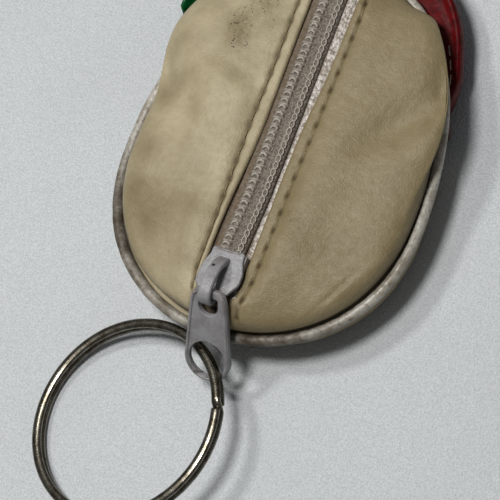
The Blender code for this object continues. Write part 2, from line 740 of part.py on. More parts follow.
def make_tab(collection, zinc):
    """The pull tab, drawn flat with its pivot at the origin and its length along -Y, then sloped down."""
    end_centre = (0, -(TAB_REACH - TAB_END_RADIUS))
    outline = [
        (TAB_TOP_HALF_WIDTH - TAB_HEAD, TAB_HEAD),
        (-TAB_TOP_HALF_WIDTH + TAB_HEAD, TAB_HEAD),
        (-TAB_TOP_HALF_WIDTH, 0),
    ]
    outline += arc(end_centre, TAB_END_RADIUS, math.pi, 2 * math.pi, 14)
    outline.append((TAB_TOP_HALF_WIDTH, 0))
    big_hole = arc(end_centre, TAB_BIG_HOLE_RADIUS, 0, 2 * math.pi, 20)[:-1]
    width = TAB_SMALL_HOLE_HALF_WIDTH
    small_centre = (0, -(TAB_SMALL_HOLE_END - width))
    small_hole = [(width, -TAB_HEAD), (-width, -TAB_HEAD)]
    small_hole += arc(small_centre, width, math.pi, 2 * math.pi, 8)
    tab = slab("pull_tab", [outline, big_hole, small_hole], -TAB / 2, TAB / 2, collection, zinc)
    tab.data.transform(Matrix.Rotation(TAB_SLOPE, 4, "X"))
    tab.location = PIVOT
    return tab


def ring_section():
    """The wire's rounded section as (outward, up)."""
    half_width = RING_WIRE_WIDTH / 2
    half_height = RING_WIRE_HEIGHT / 2
    section = []
    for side in range(RING_SECTION_SIDES):
        angle = 2 * math.pi * (side + 0.5) / RING_SECTION_SIDES
        out = half_width * raised(math.cos(angle), RING_SECTION_POWER)
        up = half_height * raised(math.sin(angle), RING_SECTION_POWER)
        section.append((out, up))
    return section


def make_ring(collection, steel):
    """Two turns of one wire: it runs low once round, steps up beside its ends, and runs high once round."""
    start = RING_STEP_PLACE + RING_END_GAP
    end = RING_STEP_PLACE + 4 * math.pi - RING_END_GAP
    step_angle = RING_STEP_PLACE + 2 * math.pi
    count = 2 * RING_STATIONS
    angles = [start + (end - start) * index / count for index in range(count + 1)]
    rings = []
    for angle in angles:
        climb = smooth_step(angle, step_angle - RING_STEP, step_angle + RING_STEP)
        height = (climb - 0.5) * RING_PITCH
        outward = Vector((math.cos(angle), math.sin(angle), 0))
        base = outward * RING_MEAN_RADIUS + Vector((0, 0, height))
        rings.append([base + outward * out + Vector((0, 0, up)) for out, up in ring_section()])
    tips = []
    for ring in (rings[0], rings[-1]):
        tips.append(sum(ring, Vector()) / len(ring))
    bm = loft(rings, start_tip=tips[0], end_tip=tips[1])
    bmesh.ops.recalc_face_normals(bm, faces=bm.faces)
    ring = object_from(bm, "split_ring", collection, steel)
    ring.data.transform(Matrix.Translation(RING_CENTRE) @ Matrix.Rotation(-RING_TILT, 4, "Y"))
    set_origin(ring, RING_HINGE)
    shade(ring)
    return ring


def main():
    clear_scene()
    purse = new_collection("zip_coin_purse")
    cutters = new_collection("cutters")
    cream = new_material("cream_vinyl", (0.66, 0.62, 0.53), 0.5)
    green = new_material("green_vinyl", (0.1, 0.25, 0.16), 0.3)
    red = new_material("red_vinyl", (0.29, 0.07, 0.08), 0.3)
    brown = new_material("brown_vinyl", (0.25, 0.17, 0.13), 0.4)
    white = new_material("white_piping_vinyl", (0.6, 0.58, 0.53), 0.35)
    tape = new_material("white_tape", (0.6, 0.58, 0.54), 0.9)
    nylon = new_material("white_nylon", (0.56, 0.54, 0.5), 0.55)
    thread = new_material("cream_thread", (0.62, 0.58, 0.5), 0.8)
    foam = new_material("white_foam", (0.75, 0.74, 0.7), 0.95)
    lining = new_material("grey_lining", (0.5, 0.49, 0.46), 0.9)
    cord = new_material("white_cord", (0.7, 0.69, 0.66), 0.9)
    zinc = new_material("grey_enamel_zinc", (0.57, 0.56, 0.55), 0.45, 0.4)
    steel = new_material("nickel_steel", (0.5, 0.48, 0.43), 0.25, 1.0)

    make_back(purse, cutters, cream)
    looks = {
        "front_panel_cream": cream,
        "front_band_brown": brown,
        "front_panel_green": green,
        "front_panel_red": red,
    }
    make_front(purse, cutters, looks)
    make_padding(purse, foam)
    make_lining(purse, lining)
    make_piping(purse, white, cord)
    make_tapes(purse, tape)
    make_chain(purse, nylon)
    make_threads(purse, thread)
    slider = make_slider(purse, cutters, zinc)
    tab = make_tab(purse, zinc)
    ring = make_ring(purse, steel)
    hang_on(tab, slider)
    hang_on(ring, tab)


main()
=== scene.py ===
import math

import bmesh
import bpy
from mathutils import Matrix, Vector, noise


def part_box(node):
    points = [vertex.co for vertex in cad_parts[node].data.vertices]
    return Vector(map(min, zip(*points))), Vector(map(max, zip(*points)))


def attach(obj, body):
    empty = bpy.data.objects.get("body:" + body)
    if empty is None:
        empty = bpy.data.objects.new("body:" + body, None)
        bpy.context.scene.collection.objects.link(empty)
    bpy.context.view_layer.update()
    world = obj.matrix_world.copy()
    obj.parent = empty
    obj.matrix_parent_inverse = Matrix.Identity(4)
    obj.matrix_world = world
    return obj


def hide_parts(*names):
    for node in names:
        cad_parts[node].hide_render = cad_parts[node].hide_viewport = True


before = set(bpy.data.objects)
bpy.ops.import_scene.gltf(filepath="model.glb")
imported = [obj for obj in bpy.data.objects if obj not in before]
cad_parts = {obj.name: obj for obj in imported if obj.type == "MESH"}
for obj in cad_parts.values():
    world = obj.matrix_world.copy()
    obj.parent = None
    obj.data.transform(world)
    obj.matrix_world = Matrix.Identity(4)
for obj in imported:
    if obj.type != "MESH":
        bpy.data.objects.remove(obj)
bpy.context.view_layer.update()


# Camera. A very long lens looks down on the zip from the ring's end, a little from the right, and the
# purse's far end runs out of the picture, as in the photograph. The picture is 500 by 500.
def show(thing):
    bpy.context.scene.collection.objects.link(thing)
    return thing


camera_data = bpy.data.cameras.new("camera")
camera_data.lens = 720
camera_data.sensor_width = 36
camera_data.clip_start = 0.1
camera = show(bpy.data.objects.new("camera", camera_data))
camera_distance = 1.4706
camera_right = Vector((0.8849, 0.3571, -0.299)).normalized()
camera_back = Vector((0.387, -0.206, 0.899)).normalized()
camera_up = camera_back.cross(camera_right).normalized()
camera_turn = Matrix((camera_right, camera_up, camera_back)).transposed().to_4x4()
view_middle = Vector((0.00234, -0.0138, 0.0127))
camera.matrix_world = Matrix.Translation(view_middle + camera_back * camera_distance) @ camera_turn
bpy.context.scene.camera = camera


# Finishes. Every finish is a set of shader nodes whose patterns are drawn in millimetres on the
# piece itself, so that grain, weave and wear stay on it from any side.
class Finish:
    """A procedural material: each call to node adds one node and joins its inputs."""

    def __init__(self, name):
        self.material = bpy.data.materials.new(name)
        self.material.use_nodes = True
        self.tree = self.material.node_tree
        self.shader = self.tree.nodes["Principled BSDF"]
        place = self.node("ShaderNodeTexCoord").outputs["Object"]
        scaled = self.node("ShaderNodeMapping", {"Vector": place, "Scale": (1000, 1000, 1000)})
        self.place = scaled.outputs[0]

    def node(self, kind, inputs=None, **settings):
        made = self.tree.nodes.new(kind)
        for name, value in settings.items():
            setattr(made, name, value)
        for name, value in (inputs or {}).items():
            self.put(made.inputs[name], value)
        return made

    def put(self, socket, value):
        if isinstance(value, bpy.types.NodeSocket):
            self.tree.links.new(value, socket)
        else:
            socket.default_value = value

    def set(self, **values):
        """Sets the shader's own sockets. A name's underscores stand for spaces."""
        for name, value in values.items():
            self.put(self.shader.inputs[name.replace("_", " ")], value)

    def add(self, first, second):
        return self.node("ShaderNodeMath", {0: first, 1: second}, operation="ADD").outputs[0]

    def multiply(self, first, second):
        return self.node("ShaderNodeMath", {0: first, 1: second}, operation="MULTIPLY").outputs[0]

    def noise(self, scale, detail=3.0, roughness=0.55, place=None):
        inputs = {"Vector": place or self.place, "Scale": scale, "Detail": detail, "Roughness": roughness}
        return self.node("ShaderNodeTexNoise", inputs).outputs["Fac"]

    def cells(self, scale):
        return self.node("ShaderNodeTexVoronoi", {"Vector": self.place, "Scale": scale}).outputs["Distance"]

    def between(self, value, low, high, start=0.0, end=1.0):
        """The value spread from low..high to start..end, and held there outside."""
        inputs = {"Value": value, "From Min": low, "From Max": high, "To Min": start, "To Max": end}
        return self.node("ShaderNodeMapRange", inputs, interpolation_type="SMOOTHSTEP").outputs[0]

    def blend(self, share, first, second):
        made = self.node("ShaderNodeMix", data_type="RGBA")
        self.put(made.inputs["Factor"], share)
        self.put(made.inputs["A"], first)
        self.put(made.inputs["B"], second)
        return made.outputs["Result"]

    def tones(self, pattern, low, high, first, second):
        """The first colour where the pattern is low and the second where it is high."""
        return self.blend(self.between(pattern, low, high), screen(*first), screen(*second))

    def stained(self, tone, share, colour):
        """The tone, turned to the colour by the share."""
        return self.blend(share, tone, screen(*colour))

    def painted(self, name):
        return self.node("ShaderNodeAttribute", attribute_name=name).outputs["Fac"]

    def stretched(self, x, y, z):
        return self.node("ShaderNodeMapping", {"Vector": self.place, "Scale": (x, y, z)}).outputs[0]

    def bump(self, height, depth, under=None):
        """Relief of this depth in millimetres."""
        inputs = {"Height": height, "Distance": depth / 1000, "Strength": 1.0}
        if under is not None:
            inputs["Normal"] = under
        return self.node("ShaderNodeBump", inputs).outputs[0]


def screen(red, green, blue):
    """A colour given as it looks on screen, 0 to 255."""
    return (*[(share / 255) ** 2.2 for share in (red, green, blue)], 1)


# Table and light. The purse lies on a white, finely grained table top. One soft lamp hangs almost
# overhead and a weaker one to the upper left, with pale surroundings that fill the shadows.
tabletop = Finish("white_grained_table")
table_grain = tabletop.noise(4.2, 4, 0.65)
table_cloud = tabletop.between(tabletop.noise(0.03, 2), 0.4, 0.7)
table_tone = tabletop.tones(table_grain, 0.35, 0.65, (188, 192, 194), (214, 218, 221))
table_tone = tabletop.stained(table_tone, tabletop.multiply(table_cloud, 0.25), (188, 190, 190))
table_relief = tabletop.bump(tabletop.add(table_grain, tabletop.cells(2.8)), 0.13)
tabletop.set(Base_Color=table_tone, Roughness=0.25, Specular_IOR_Level=0.3, Normal=table_relief)

table_half_width = 0.6
table_clearance = 0.00003
table_shape = bmesh.new()
bmesh.ops.create_grid(table_shape, x_segments=4, y_segments=4, size=table_half_width)
bmesh.ops.translate(table_shape, vec=(0, 0, -table_clearance), verts=table_shape.verts)
table_mesh = bpy.data.meshes.new("table")
table_shape.to_mesh(table_mesh)
table_shape.free()
table_mesh.materials.append(tabletop.material)
table = show(bpy.data.objects.new("table", table_mesh))


def soft_lamp(name, place, size, power):
    """A round lamp of this width, aimed at the purse."""
    lamp = bpy.data.lights.new(name, "AREA")
    lamp.shape = "DISK"
    lamp.size = size
    lamp.energy = power
    lamp.color = (1, 0.99, 0.97)
    hung = show(bpy.data.objects.new(name, lamp))
    hung.location = place
    purse_middle = Vector((0, -0.01, 0.01))
    hung.rotation_euler = (purse_middle - Vector(place)).to_track_quat("-Z", "Y").to_euler()


soft_lamp("ceiling_lamp", (-0.03, -0.02, 0.52), 0.13, 1.72)
soft_lamp("window_lamp", (-0.237, 0.05, 0.48), 0.08, 0.85)
world = bpy.data.worlds.new("pale_room")
bpy.context.scene.world = world
world.use_nodes = True
surroundings = world.node_tree.nodes["Background"].inputs
surroundings["Color"].default_value = screen(200, 203, 206)
surroundings["Strength"].default_value = 0.2
bpy.context.scene.view_settings.view_transform = "Standard"


# Back of the purse. Two cut pieces of soft cream vinyl, folded under along the zip and sewn into the
# seam all round. They puff out over what the purse holds, and are stained and creased by handling.
# Shade is painted into their colour as well: over the whole right piece, in the needle holes and in
# the crease where they turn into the seam.
seam_half_width = 23.9
seam_near_length = 26.05
seam_far_length = 32.8
near_power, far_power = 2.1, 2.2
widest_y = -3.4
seam_height = 7.2
back_seam_height = 7.85
back_rise = 6.6
back_vinyl = 0.3
fold_top = 12.86
fold_radius = 0.56
fold_distance = 3.0
fold_widening = 0.85
slider_near_end, slider_far_end, slider_room = -21.5, 20, 2.95
stitch_inset = 1.75
stitch_pitch = 2.85
first_stitch = -21.4
last_stitch = 27.6


def ease(value, start, end):
    """Rises smoothly from 0 at the start to 1 at the end."""
    share = min(max((value - start) / (end - start), 0), 1)
    return share * share * (3 - 2 * share)


def hump(value, middle, spread):
    return math.exp(-(((value - middle) / spread) ** 2))


def signed_power(value, power):
    return math.copysign(abs(value) ** power, value)


def half_outline(along):
    """Length and power of the half of the seam's outline on this side of its widest line."""
    if along < 0:
        return seam_near_length + widest_y, near_power
    return seam_far_length - widest_y, far_power


def seam_point(angle, share=1.0):
    """A point of the seam's outline, or of that outline scaled towards its middle."""
    length, power = half_outline(math.sin(angle))
    across = signed_power(math.cos(angle), 2 / power)
    along = signed_power(math.sin(angle), 2 / power)
    return Vector((across * seam_half_width * share, widest_y + along * length * share, 0))


def seam_outward(angle):
    along = seam_point(angle + 0.02) - seam_point(angle - 0.02)
    return Vector((along.y, -along.x, 0)).normalized()


def seam_share(x, y):
    """How far out a place lies: 0 in the middle, 1 on the seam."""
    length, power = half_outline(y - widest_y)
    return ((abs(x) / seam_half_width) ** power + (abs(y - widest_y) / length) ** power) ** (1 / power)


def even_gap(y):
    """Distance of an undisturbed fold from the zip's middle."""
    return fold_distance + fold_widening * ease(y, -26, 30)


def half_gap(x, y):
    """Distance of the fold from the zip's middle. The left one stands further back near the slider,
    the right one leaves the slider room, and both close in past the zip's ends."""
    even = even_gap(y) - 2.3 * (1 - ease(y, -25.3, slider_near_end)) - 3.2 * ease(y, 27.8, 30.6)
    if x < 0:
        return even + (0.6 - 1.25 * ease(y, -14, 7)) * ease(y, -24, -19)
    least = slider_room if slider_near_end < y < slider_far_end else 0
    return max(even - 0.45 * (1 - ease(y, 5, 16)), least)


def stitch_line(x, y):
    """Distance of the topstitching from the zip's middle. It runs in towards both ends."""
    run_in = ease(-y, 17.5, 24) + 0.6 * ease(y, 24, 31)
    closer = 0.25 + 0.35 * ease(y, 3, 15) if x < 0 else 0.1 * ease(y, -10, 0)
    return even_gap(y) + stitch_inset - 0.75 * run_in - closer


def stitch_phase(y):
    """0 at a needle hole and 1 halfway to the next."""
    return abs(math.sin(math.pi * (y - first_stitch) / stitch_pitch))


def dome(x, y):
    """Height of the back without its folds and dents: fuller on the right, fallen in at the near end."""
    share = min(seam_share(x, y), 1)
    power = 2.7 + 2.4 * hump(x, 0, 9)
    round_over = (1 - share**power) ** 0.45
    full = (1 - share**20) ** 0.5 * (1 - 0.48 * share**1.4)
    fullness = ease(x, 6, 15) * ease(y, -22, -8)
    fallen = 0.17 * ease(-y, 1, 22) * ease(abs(x), 5, 12) * (1 - share**8)
    return back_seam_height + back_rise * (round_over + (full - round_over) * fullness - fallen)


# Each dent or swelling of the two pieces: x, y, spread across it, spread along it, turn, depth
back_dents = (
    (20.0, 20.5, 2.6, 5.5, -20, -1.5),
    (15.6, 11.0, 2.4, 6.5, -35, -1.2),
    (8.5, 13.0, 3.0, 7.0, -10, -0.4),
    (20.3, 10.0, 2.0, 6.0, -12, 0.5),
    (12.5, 20.0, 4.0, 8.0, -5, 0.35),
    (17.0, -15.5, 0.55, 4.2, -30, -0.24),
    (18.3, -14.6, 1.4, 4.0, -30, 0.18),
    (11.0, -12.0, 4.0, 7.0, 10, 0.25),
    (-20.0, 8.5, 1.9, 4.5, 12, -1.1),
    (-17.5, 17.0, 4.0, 5.0, 20, 0.5),
    (-15.4, 3.5, 2.0, 4.5, 10, -0.8),
    (-8.8, 12.0, 2.0, 5.0, 75, -0.9),
    (-12.5, 8.5, 4.2, 3.6, 0, 0.55),
    (-8.5, -4.0, 2.6, 4.0, 10, -0.5),
    (-18.8, -7.0, 2.4, 6.0, 15, 0.35),
    (-9.5, -9.5, 3.0, 5.0, 25, -0.25),
    (-10.0, 12.0, 3.0, 6.0, 10, 0.25),
    (-16.0, -14.5, 1.2, 4.0, 35, -0.18),
)


def handled(x, y):
    """Depth of the dents and swellings that handling leaves."""
    total = 0.18 * noise.noise((x * 0.12, y * 0.12, 3.1))
    total += 0.06 * noise.noise((x * 0.45, y * 0.3, 8.4))
    for middle_x, middle_y, across, along, turn, depth in back_dents:
        away_x, away_y = x - middle_x, y - middle_y
        cosine, sine = math.cos(math.radians(turn)), math.sin(math.radians(turn))
        side = (away_x * cosine + away_y * sine) / across
        length = (-away_x * sine + away_y * cosine) / along
        total += depth * math.exp(-side * side - length * length)
    return total


def back_top(x, y):
    """Height of the vinyl's outer face between the fold by the zip and the seam."""
    high = dome(x, y)
    level = min(fold_top, high)
    edge = stitch_line(x, y)
    scallop = 0.28 * stitch_phase(y)
    past = max(abs(x) - edge + scallop, 0)
    height = level + (high - level) * (1 - math.exp(-past / 1.9))
    crease = hump(abs(x), edge - 0.1, 0.3) * (0.16 + 0.42 * (1 - stitch_phase(y)) ** 1.5)
    share = seam_share(x, y)
    height += handled(x, y) * ease(share, 1.0, 0.9) * ease(past, 0, 2.5)
    return height - crease * ease(share, 1.0, 0.96)


def edge_lean(side, y):
    """How far the piece's side slopes back from the seam, which leaves the piping in view."""
    if side < 0:
        return 1.3 * (1 - ease(y, 3, 13))
    return 0.2 + 0.45 * ease(-y, -4, 16)


def edge_swell(side, y):
    """How far the piece puffs out over its seam towards the far end."""
    if side < 0:
        return 3.6 * ease(y, 3.5, 17.8)
    return 2.7 * ease(y, -4, 14) * (1 - 0.95 * ease(y, 26.3, 30.3))


def rolled_edge(height, lean):
    """How far in from the seam the vinyl stands at this height where it doesn't puff out."""
    share = (height - back_seam_height) / back_rise
    tucked = 0.6 * (1 - ease(share, 0, 0.16))
    return tucked + lean * (1 - ease(share, 0.1, 0.75))


# Each stain or patch of painted shade, and each patch of specks: x, y, spread, strength
stains_and_shade = (
    (-19.9, 5.3, 2.2, 0.75), (-19.1, -3.2, 2.4, 0.7), (-18.3, -9.4, 2.4, 0.6), (-21.6, 0.8, 1.6, 0.45),
    # The wide patch at -14.5, -12.5 is dirt and also painted shade, where the near left slopes away from the
    # light.
    (-8.4, -9.1, 2.6, 0.5), (-14.5, -12.5, 6.5, 1.0), (-6.2, -18.0, 2.0, 0.4), (8.1, -6.8, 3.2, 0.35),
    (7.6, -19.5, 3.2, 0.6), (16.0, -12.0, 4.0, 0.25), (-11.7, 17.3, 3.0, 0.5), (20.5, 3.0, 2.4, 0.35),
    (-20.3, 14.5, 1.8, 0.4), (11.5, 8.0, 4.0, 0.2), (18.0, 19.0, 3.0, 0.3), (-7.5, 4.0, 2.5, 0.2),
    (-16.5, 9.5, 2.2, 0.35), (21.0, -5.0, 2.2, 0.35),
)
speck_spots = (
    (-12.3, 19.1, 1.9, 1.0), (-11.1, 16.2, 1.6, 0.85), (-9.8, 23.0, 2.0, 0.8), (-7.4, 19.9, 1.0, 0.45),
    (8.0, -8.0, 3.2, 0.3),
)


def spotted(x, y, spots):
    total = 0
    for middle_x, middle_y, spread, strength in spots:
        total += strength * hump(math.hypot(x - middle_x, y - middle_y), 0, spread)
    return min(total, 1)


cream = Finish("cream_vinyl_handled")
cream_mottle = cream.noise(1.1, 5, 0.65)
cream_specks = cream.painted("specks")
cream_tone = cream.tones(cream.noise(0.16, 4, 0.6), 0.35, 0.68, (176, 163, 133), (158, 145, 116))
cream_patches = cream.multiply(cream.between(cream_mottle, 0.45, 0.75), 0.25)
cream_tone = cream.stained(cream_tone, cream_patches, (134, 120, 90))
# Darkened by a painted layer that holds real stains and also painted shade: over the right piece and low on
# the front's wall.
cream_soil_and_shade = cream.multiply(cream.painted("soil_and_shade"), cream.between(cream_mottle, 0.25, 0.6, 0.9, 1.0))
cream_tone = cream.stained(cream_tone, cream.multiply(cream_soil_and_shade, 0.7), (108, 92, 58))
cream_smudge = cream.multiply(cream_specks, cream.between(cream_mottle, 0.35, 0.6, 0.35, 0.75))
cream_tone = cream.stained(cream_tone, cream_smudge, (112, 100, 72))
cream_dots = cream.between(cream.noise(2.3, 3, 0.6), 0.585, 0.64)
cream_dots = cream.multiply(cream_dots, cream.between(cream.noise(0.8, 2), 0.4, 0.52))
cream_dots = cream.multiply(cream_dots, cream.between(cream_specks, 0.1, 0.5))
cream_tone = cream.stained(cream_tone, cream_dots, (44, 30, 14))
# Painted shade in the needle holes along the stitching and in the crease where the vinyl turns into the seam.
cream_tone = cream.stained(cream_tone, cream.multiply(cream.painted("crease"), 0.95), (58, 44, 28))
cream_relief = cream.bump(cream.cells(3.6), 0.035)
cream_relief = cream.bump(cream.noise(7.5, 3, 0.6), 0.05, cream_relief)
cream_relief = cream.bump(cream.noise(0.7, 4, 0.6), 0.16, cream_relief)
cream.set(
    Base_Color=cream_tone,
    Roughness=cream.between(cream_mottle, 0.3, 0.7, 0.4, 0.52),
    Specular_IOR_Level=0.4,
    Normal=cream_relief,
)


def flat_grid(columns, rows, *layer_names):
    """A grid to be shaped, its points with their columns and rows, and its painted layers."""
    grid = bmesh.new()
    bmesh.ops.create_grid(grid, x_segments=columns, y_segments=rows, size=1)
    layers = [grid.verts.layers.float.new(name) for name in layer_names]
    points = []
    for vert in grid.verts:
        points.append((vert, round((vert.co.x + 1) / 2 * columns), round((vert.co.y + 1) / 2 * rows)))
    return grid, points, layers


def turn_outward(shape, up):
    """Turns all faces so that the highest one looks up, or for up = -1 the lowest one down."""
    bmesh.ops.recalc_face_normals(shape, faces=shape.faces)
    shape.normal_update()
    whole_faces = [face for face in shape.faces if face.calc_area() > 0.01]
    outermost = max(whole_faces, key=lambda face: up * face.calc_center_median().z)
    if up * outermost.normal.z < 0:
        bmesh.ops.reverse_faces(shape, faces=shape.faces)


def add_piece(name, shape, finish, body, slot, *stands_for):
    """Makes the finished piece from a shape drawn in millimetres, on its body."""
    bmesh.ops.scale(shape, vec=(0.001, 0.001, 0.001), verts=shape.verts)
    mesh = bpy.data.meshes.new(name)
    shape.to_mesh(mesh)
    shape.free()
    mesh.shade_smooth()
    mesh.materials.append(finish.material)
    piece = show(bpy.data.objects.new(name, mesh))
    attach(piece, body)
    if stands_for:
        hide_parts(*stands_for)
    return piece


def give_thickness(piece, thickness):
    wall = piece.modifiers.new("wall", "SOLIDIFY")
    wall.thickness = thickness / 1000
    wall.offset = -1


hem_width = 2.0
hem_columns, fold_columns, top_columns, panel_rows = 4, 8, 92, 250
first_top_column = hem_columns + fold_columns
corner_x = 1.0
near_corner = -math.acos((corner_x / seam_half_width) ** (near_power / 2))
far_corner = math.acos((corner_x / seam_half_width) ** (far_power / 2))
fold_near_end = seam_point(near_corner).y + 1.1
fold_far_end = seam_point(far_corner).y - 0.9


def back_place(column, row, side):
    """Where a point of the grid lies on the left or right piece."""
    travel = 0.004 + 0.992 * row / panel_rows
    seam_angle = near_corner + (far_corner - near_corner) * travel
    rim, outward = seam_point(seam_angle), seam_outward(seam_angle)
    y = fold_near_end + (fold_far_end - fold_near_end) * travel
    turned_in = Vector((half_gap(side, y) + fold_radius, y, 0))
    edge_height = back_top(turned_in.x, y)
    if column <= hem_columns:
        reach = hem_width * (1 - column / hem_columns)
        return Vector((side * (turned_in.x + reach), y, edge_height - 2 * fold_radius))
    if column <= first_top_column:
        angle = math.pi * ((column - hem_columns) / fold_columns - 0.5)
        x = turned_in.x - fold_radius * math.cos(angle)
        return Vector((side * x, y, edge_height + fold_radius * (math.sin(angle) - 1)))
    step = (column - first_top_column) / top_columns
    reach = 0.45 * step + 0.55 * (1 - math.cos(math.pi * step)) / 2
    place = turned_in + (rim - turned_in) * reach
    height = back_top(side * place.x, place.y)
    tucked = rolled_edge(height, edge_lean(side, rim.y))
    tucked *= ease(seam_share(place.x, place.y), 0.86, 1.0) * ease(abs(place.x), 0.2, 2.4)
    puffed = edge_swell(side, rim.y) * ease(reach, 0.12, 0.92) * (1 - ease(reach, 0.93, 0.995))
    place += outward * (puffed * ease(abs(place.x), 3.4, 7.5) - tucked)
    return Vector((side * place.x, place.y, height))


for side, name, node in (
    (-1, "cream_back_left", "back_panel_left"),
    (1, "cream_back_right", "back_panel_right"),
):
    back, points, (soil_and_shade, specks, crease) = flat_grid(
        first_top_column + top_columns, panel_rows, "soil_and_shade", "specks", "crease"
    )
    for vert, column, row in points:
        vert.co = back_place(column, row, side)
        x, y, z = vert.co
        share = max(column - first_top_column, 0) / top_columns
        edge = stitch_line(side, y)
        # Painted shade: the whole right piece is darker, and its strip by the zip more so, as a piece turned
        # from the light. The layer also darkens the vinyl near the seam.
        right_piece_shade = (0.9 + 0.1 * (x < edge)) * (side > 0)
        vert[soil_and_shade] = min(spotted(x, y, stains_and_shade) + 0.5 * ease(share, 0.9, 1) + right_piece_shade, 1)
        vert[specks] = spotted(x, y, speck_spots)
        # The crease layer marks painted shade: the needle holes along the stitching, and the last turn into
        # the seam.
        hole = hump(abs(x), edge - 0.12, 0.26) * (1 - 0.62 * stitch_phase(y) ** 0.6)
        on_top = z > fold_top - 1.5 and column > first_top_column
        vert[crease] = min(hole * on_top + ease(share, 0.96, 1.0) * 0.8, 1)
    turn_outward(back, 1)
    piece = add_piece(name, back, cream, "purse", "cream_vinyl", node)
    give_thickness(piece, back_vinyl)


# Front of the purse, face down on the table: cream, a brown band, then green and red at the far end,
# plain pieces of glossy vinyl sewn edge to edge and puffed out by the foam behind.
front_seam_height = 6.55
front_vinyl = 0.4
front_rows, front_columns, wall_columns = 240, 64, 44
band_near_edge = 12.4
band_far_edge = 16.4
far_seam_x = 0.013
# The wall's section from the seam down: inset in mm, share of the seam's height, share of the swell
wall_section = (
    (3.2, 1.0, 0.0), (1.7, 1.0, 0.0), (1.0, 0.985, 0.1), (0.55, 0.93, 0.7),
    (0.35, 0.82, 0.96), (0.35, 0.66, 1.05), (0.6, 0.48, 1.04), (1.1, 0.3, 0.94),
    (1.9, 0.16, 0.76), (3.0, 0.07, 0.5), (4.5, 0.015, 0.25), (6.5, 0.0, 0.0),
)
flat_inset = wall_section[-1][0]


def along_section(share):
    """Inset, height and swell at a share of the way down the wall, smoothed between its points."""
    spot = share * (len(wall_section) - 1)
    first = min(int(spot), len(wall_section) - 2)
    part = spot - first
    before = wall_section[max(first - 1, 0)]
    after = wall_section[min(first + 2, len(wall_section) - 1)]
    values = []
    for p0, p1, p2, p3 in zip(before, wall_section[first], wall_section[first + 1], after):
        slope1, slope2 = (p2 - p0) / 2, (p3 - p1) / 2
        values.append(
            (2 * part**3 - 3 * part**2 + 1) * p1
            + (part**3 - 2 * part**2 + part) * slope1
            + (3 * part**2 - 2 * part**3) * p2
            + (part**3 - part**2) * slope2
        )
    return values


def seam_pinch(x, y):
    """How near a place is to a seam between two colours, 1 on it."""
    pinch = max(hump(y, band_near_edge, 0.6), hump(y, band_far_edge, 0.7))
    if y > band_far_edge:
        pinch = max(pinch, hump(x, 0, 0.55))
    return pinch


def front_swell(x, y):
    """How far the front puffs out past the seam, and how far that swelling rises beside it."""
    left = 0.3 * ease(y, 11, 13.5) + 5.3 * ease(y, 15.4, 18.6) + 0.6 * ease(y, 18, 22)
    right = 0.55 * ease(y, 10.5, 13) + 2.05 * ease(y, 16.4, 21.5)
    right += 3.1 * ease(y, 20, 31)
    share = ease(x, -12, 12)
    return left + (right - left) * share, (left * 0.65) * (1 - share) + right * 0.3 * share


def front_place(column, angle):
    """Where a point of the grid lies: down the wall from the seam, then in to the flat's middle."""
    rim, outward = seam_point(angle), seam_outward(angle)
    if column <= wall_columns:
        down = column / wall_columns
        inset, height, pushed = along_section(down)
        swelling, rising = front_swell(rim.x, rim.y)
        place = rim - outward * inset + outward * swelling * pushed
        place.z = (front_seam_height + rising * ease(pushed, 0.7, 1.0)) * max(height, 0)
        wall = ease(down, 0.15, 0.35) * (1 - ease(down, 0.85, 1))
        pucker = 0.1 * noise.noise((place.x * 0.5, place.y * 0.5, place.z * 0.7))
        place -= outward * wall * ((0.5 + 0.16 * swelling) * seam_pinch(rim.x, rim.y) - pucker)
        return place
    share = 1 - (column - wall_columns) / (front_columns - wall_columns)
    inner = rim - outward * flat_inset
    place = Vector((inner.x * share, widest_y + (inner.y - widest_y) * share, 0))
    place.z = 0.3 * seam_pinch(place.x, place.y) * share
    return place


def vinyl_finish(name, light, dark, gloss):
    finish = Finish(name)
    mottle = finish.noise(0.9, 4)
    tone = finish.tones(mottle, 0.35, 0.7, light, dark)
    # Painted shade along the pinched seams between the pieces.
    tone = finish.stained(tone, finish.multiply(finish.painted("crease"), 0.85), (24, 18, 16))
    relief = finish.bump(finish.cells(3.2), 0.012)
    relief = finish.bump(finish.noise(0.8, 3), 0.1, relief)
    rough = finish.between(mottle, 0.3, 0.7, gloss, gloss + 0.12)
    finish.set(Base_Color=tone, Roughness=rough, Specular_IOR_Level=0.14, Normal=relief)
    return finish


green = vinyl_finish("green_vinyl_gloss", (16, 78, 40), (10, 52, 28), 0.28)
red = vinyl_finish("red_vinyl_gloss", (92, 3, 12), (66, 2, 9), 0.42)
brown = vinyl_finish("brown_vinyl_gloss", (92, 58, 52), (62, 40, 36), 0.3)
beyond = 60
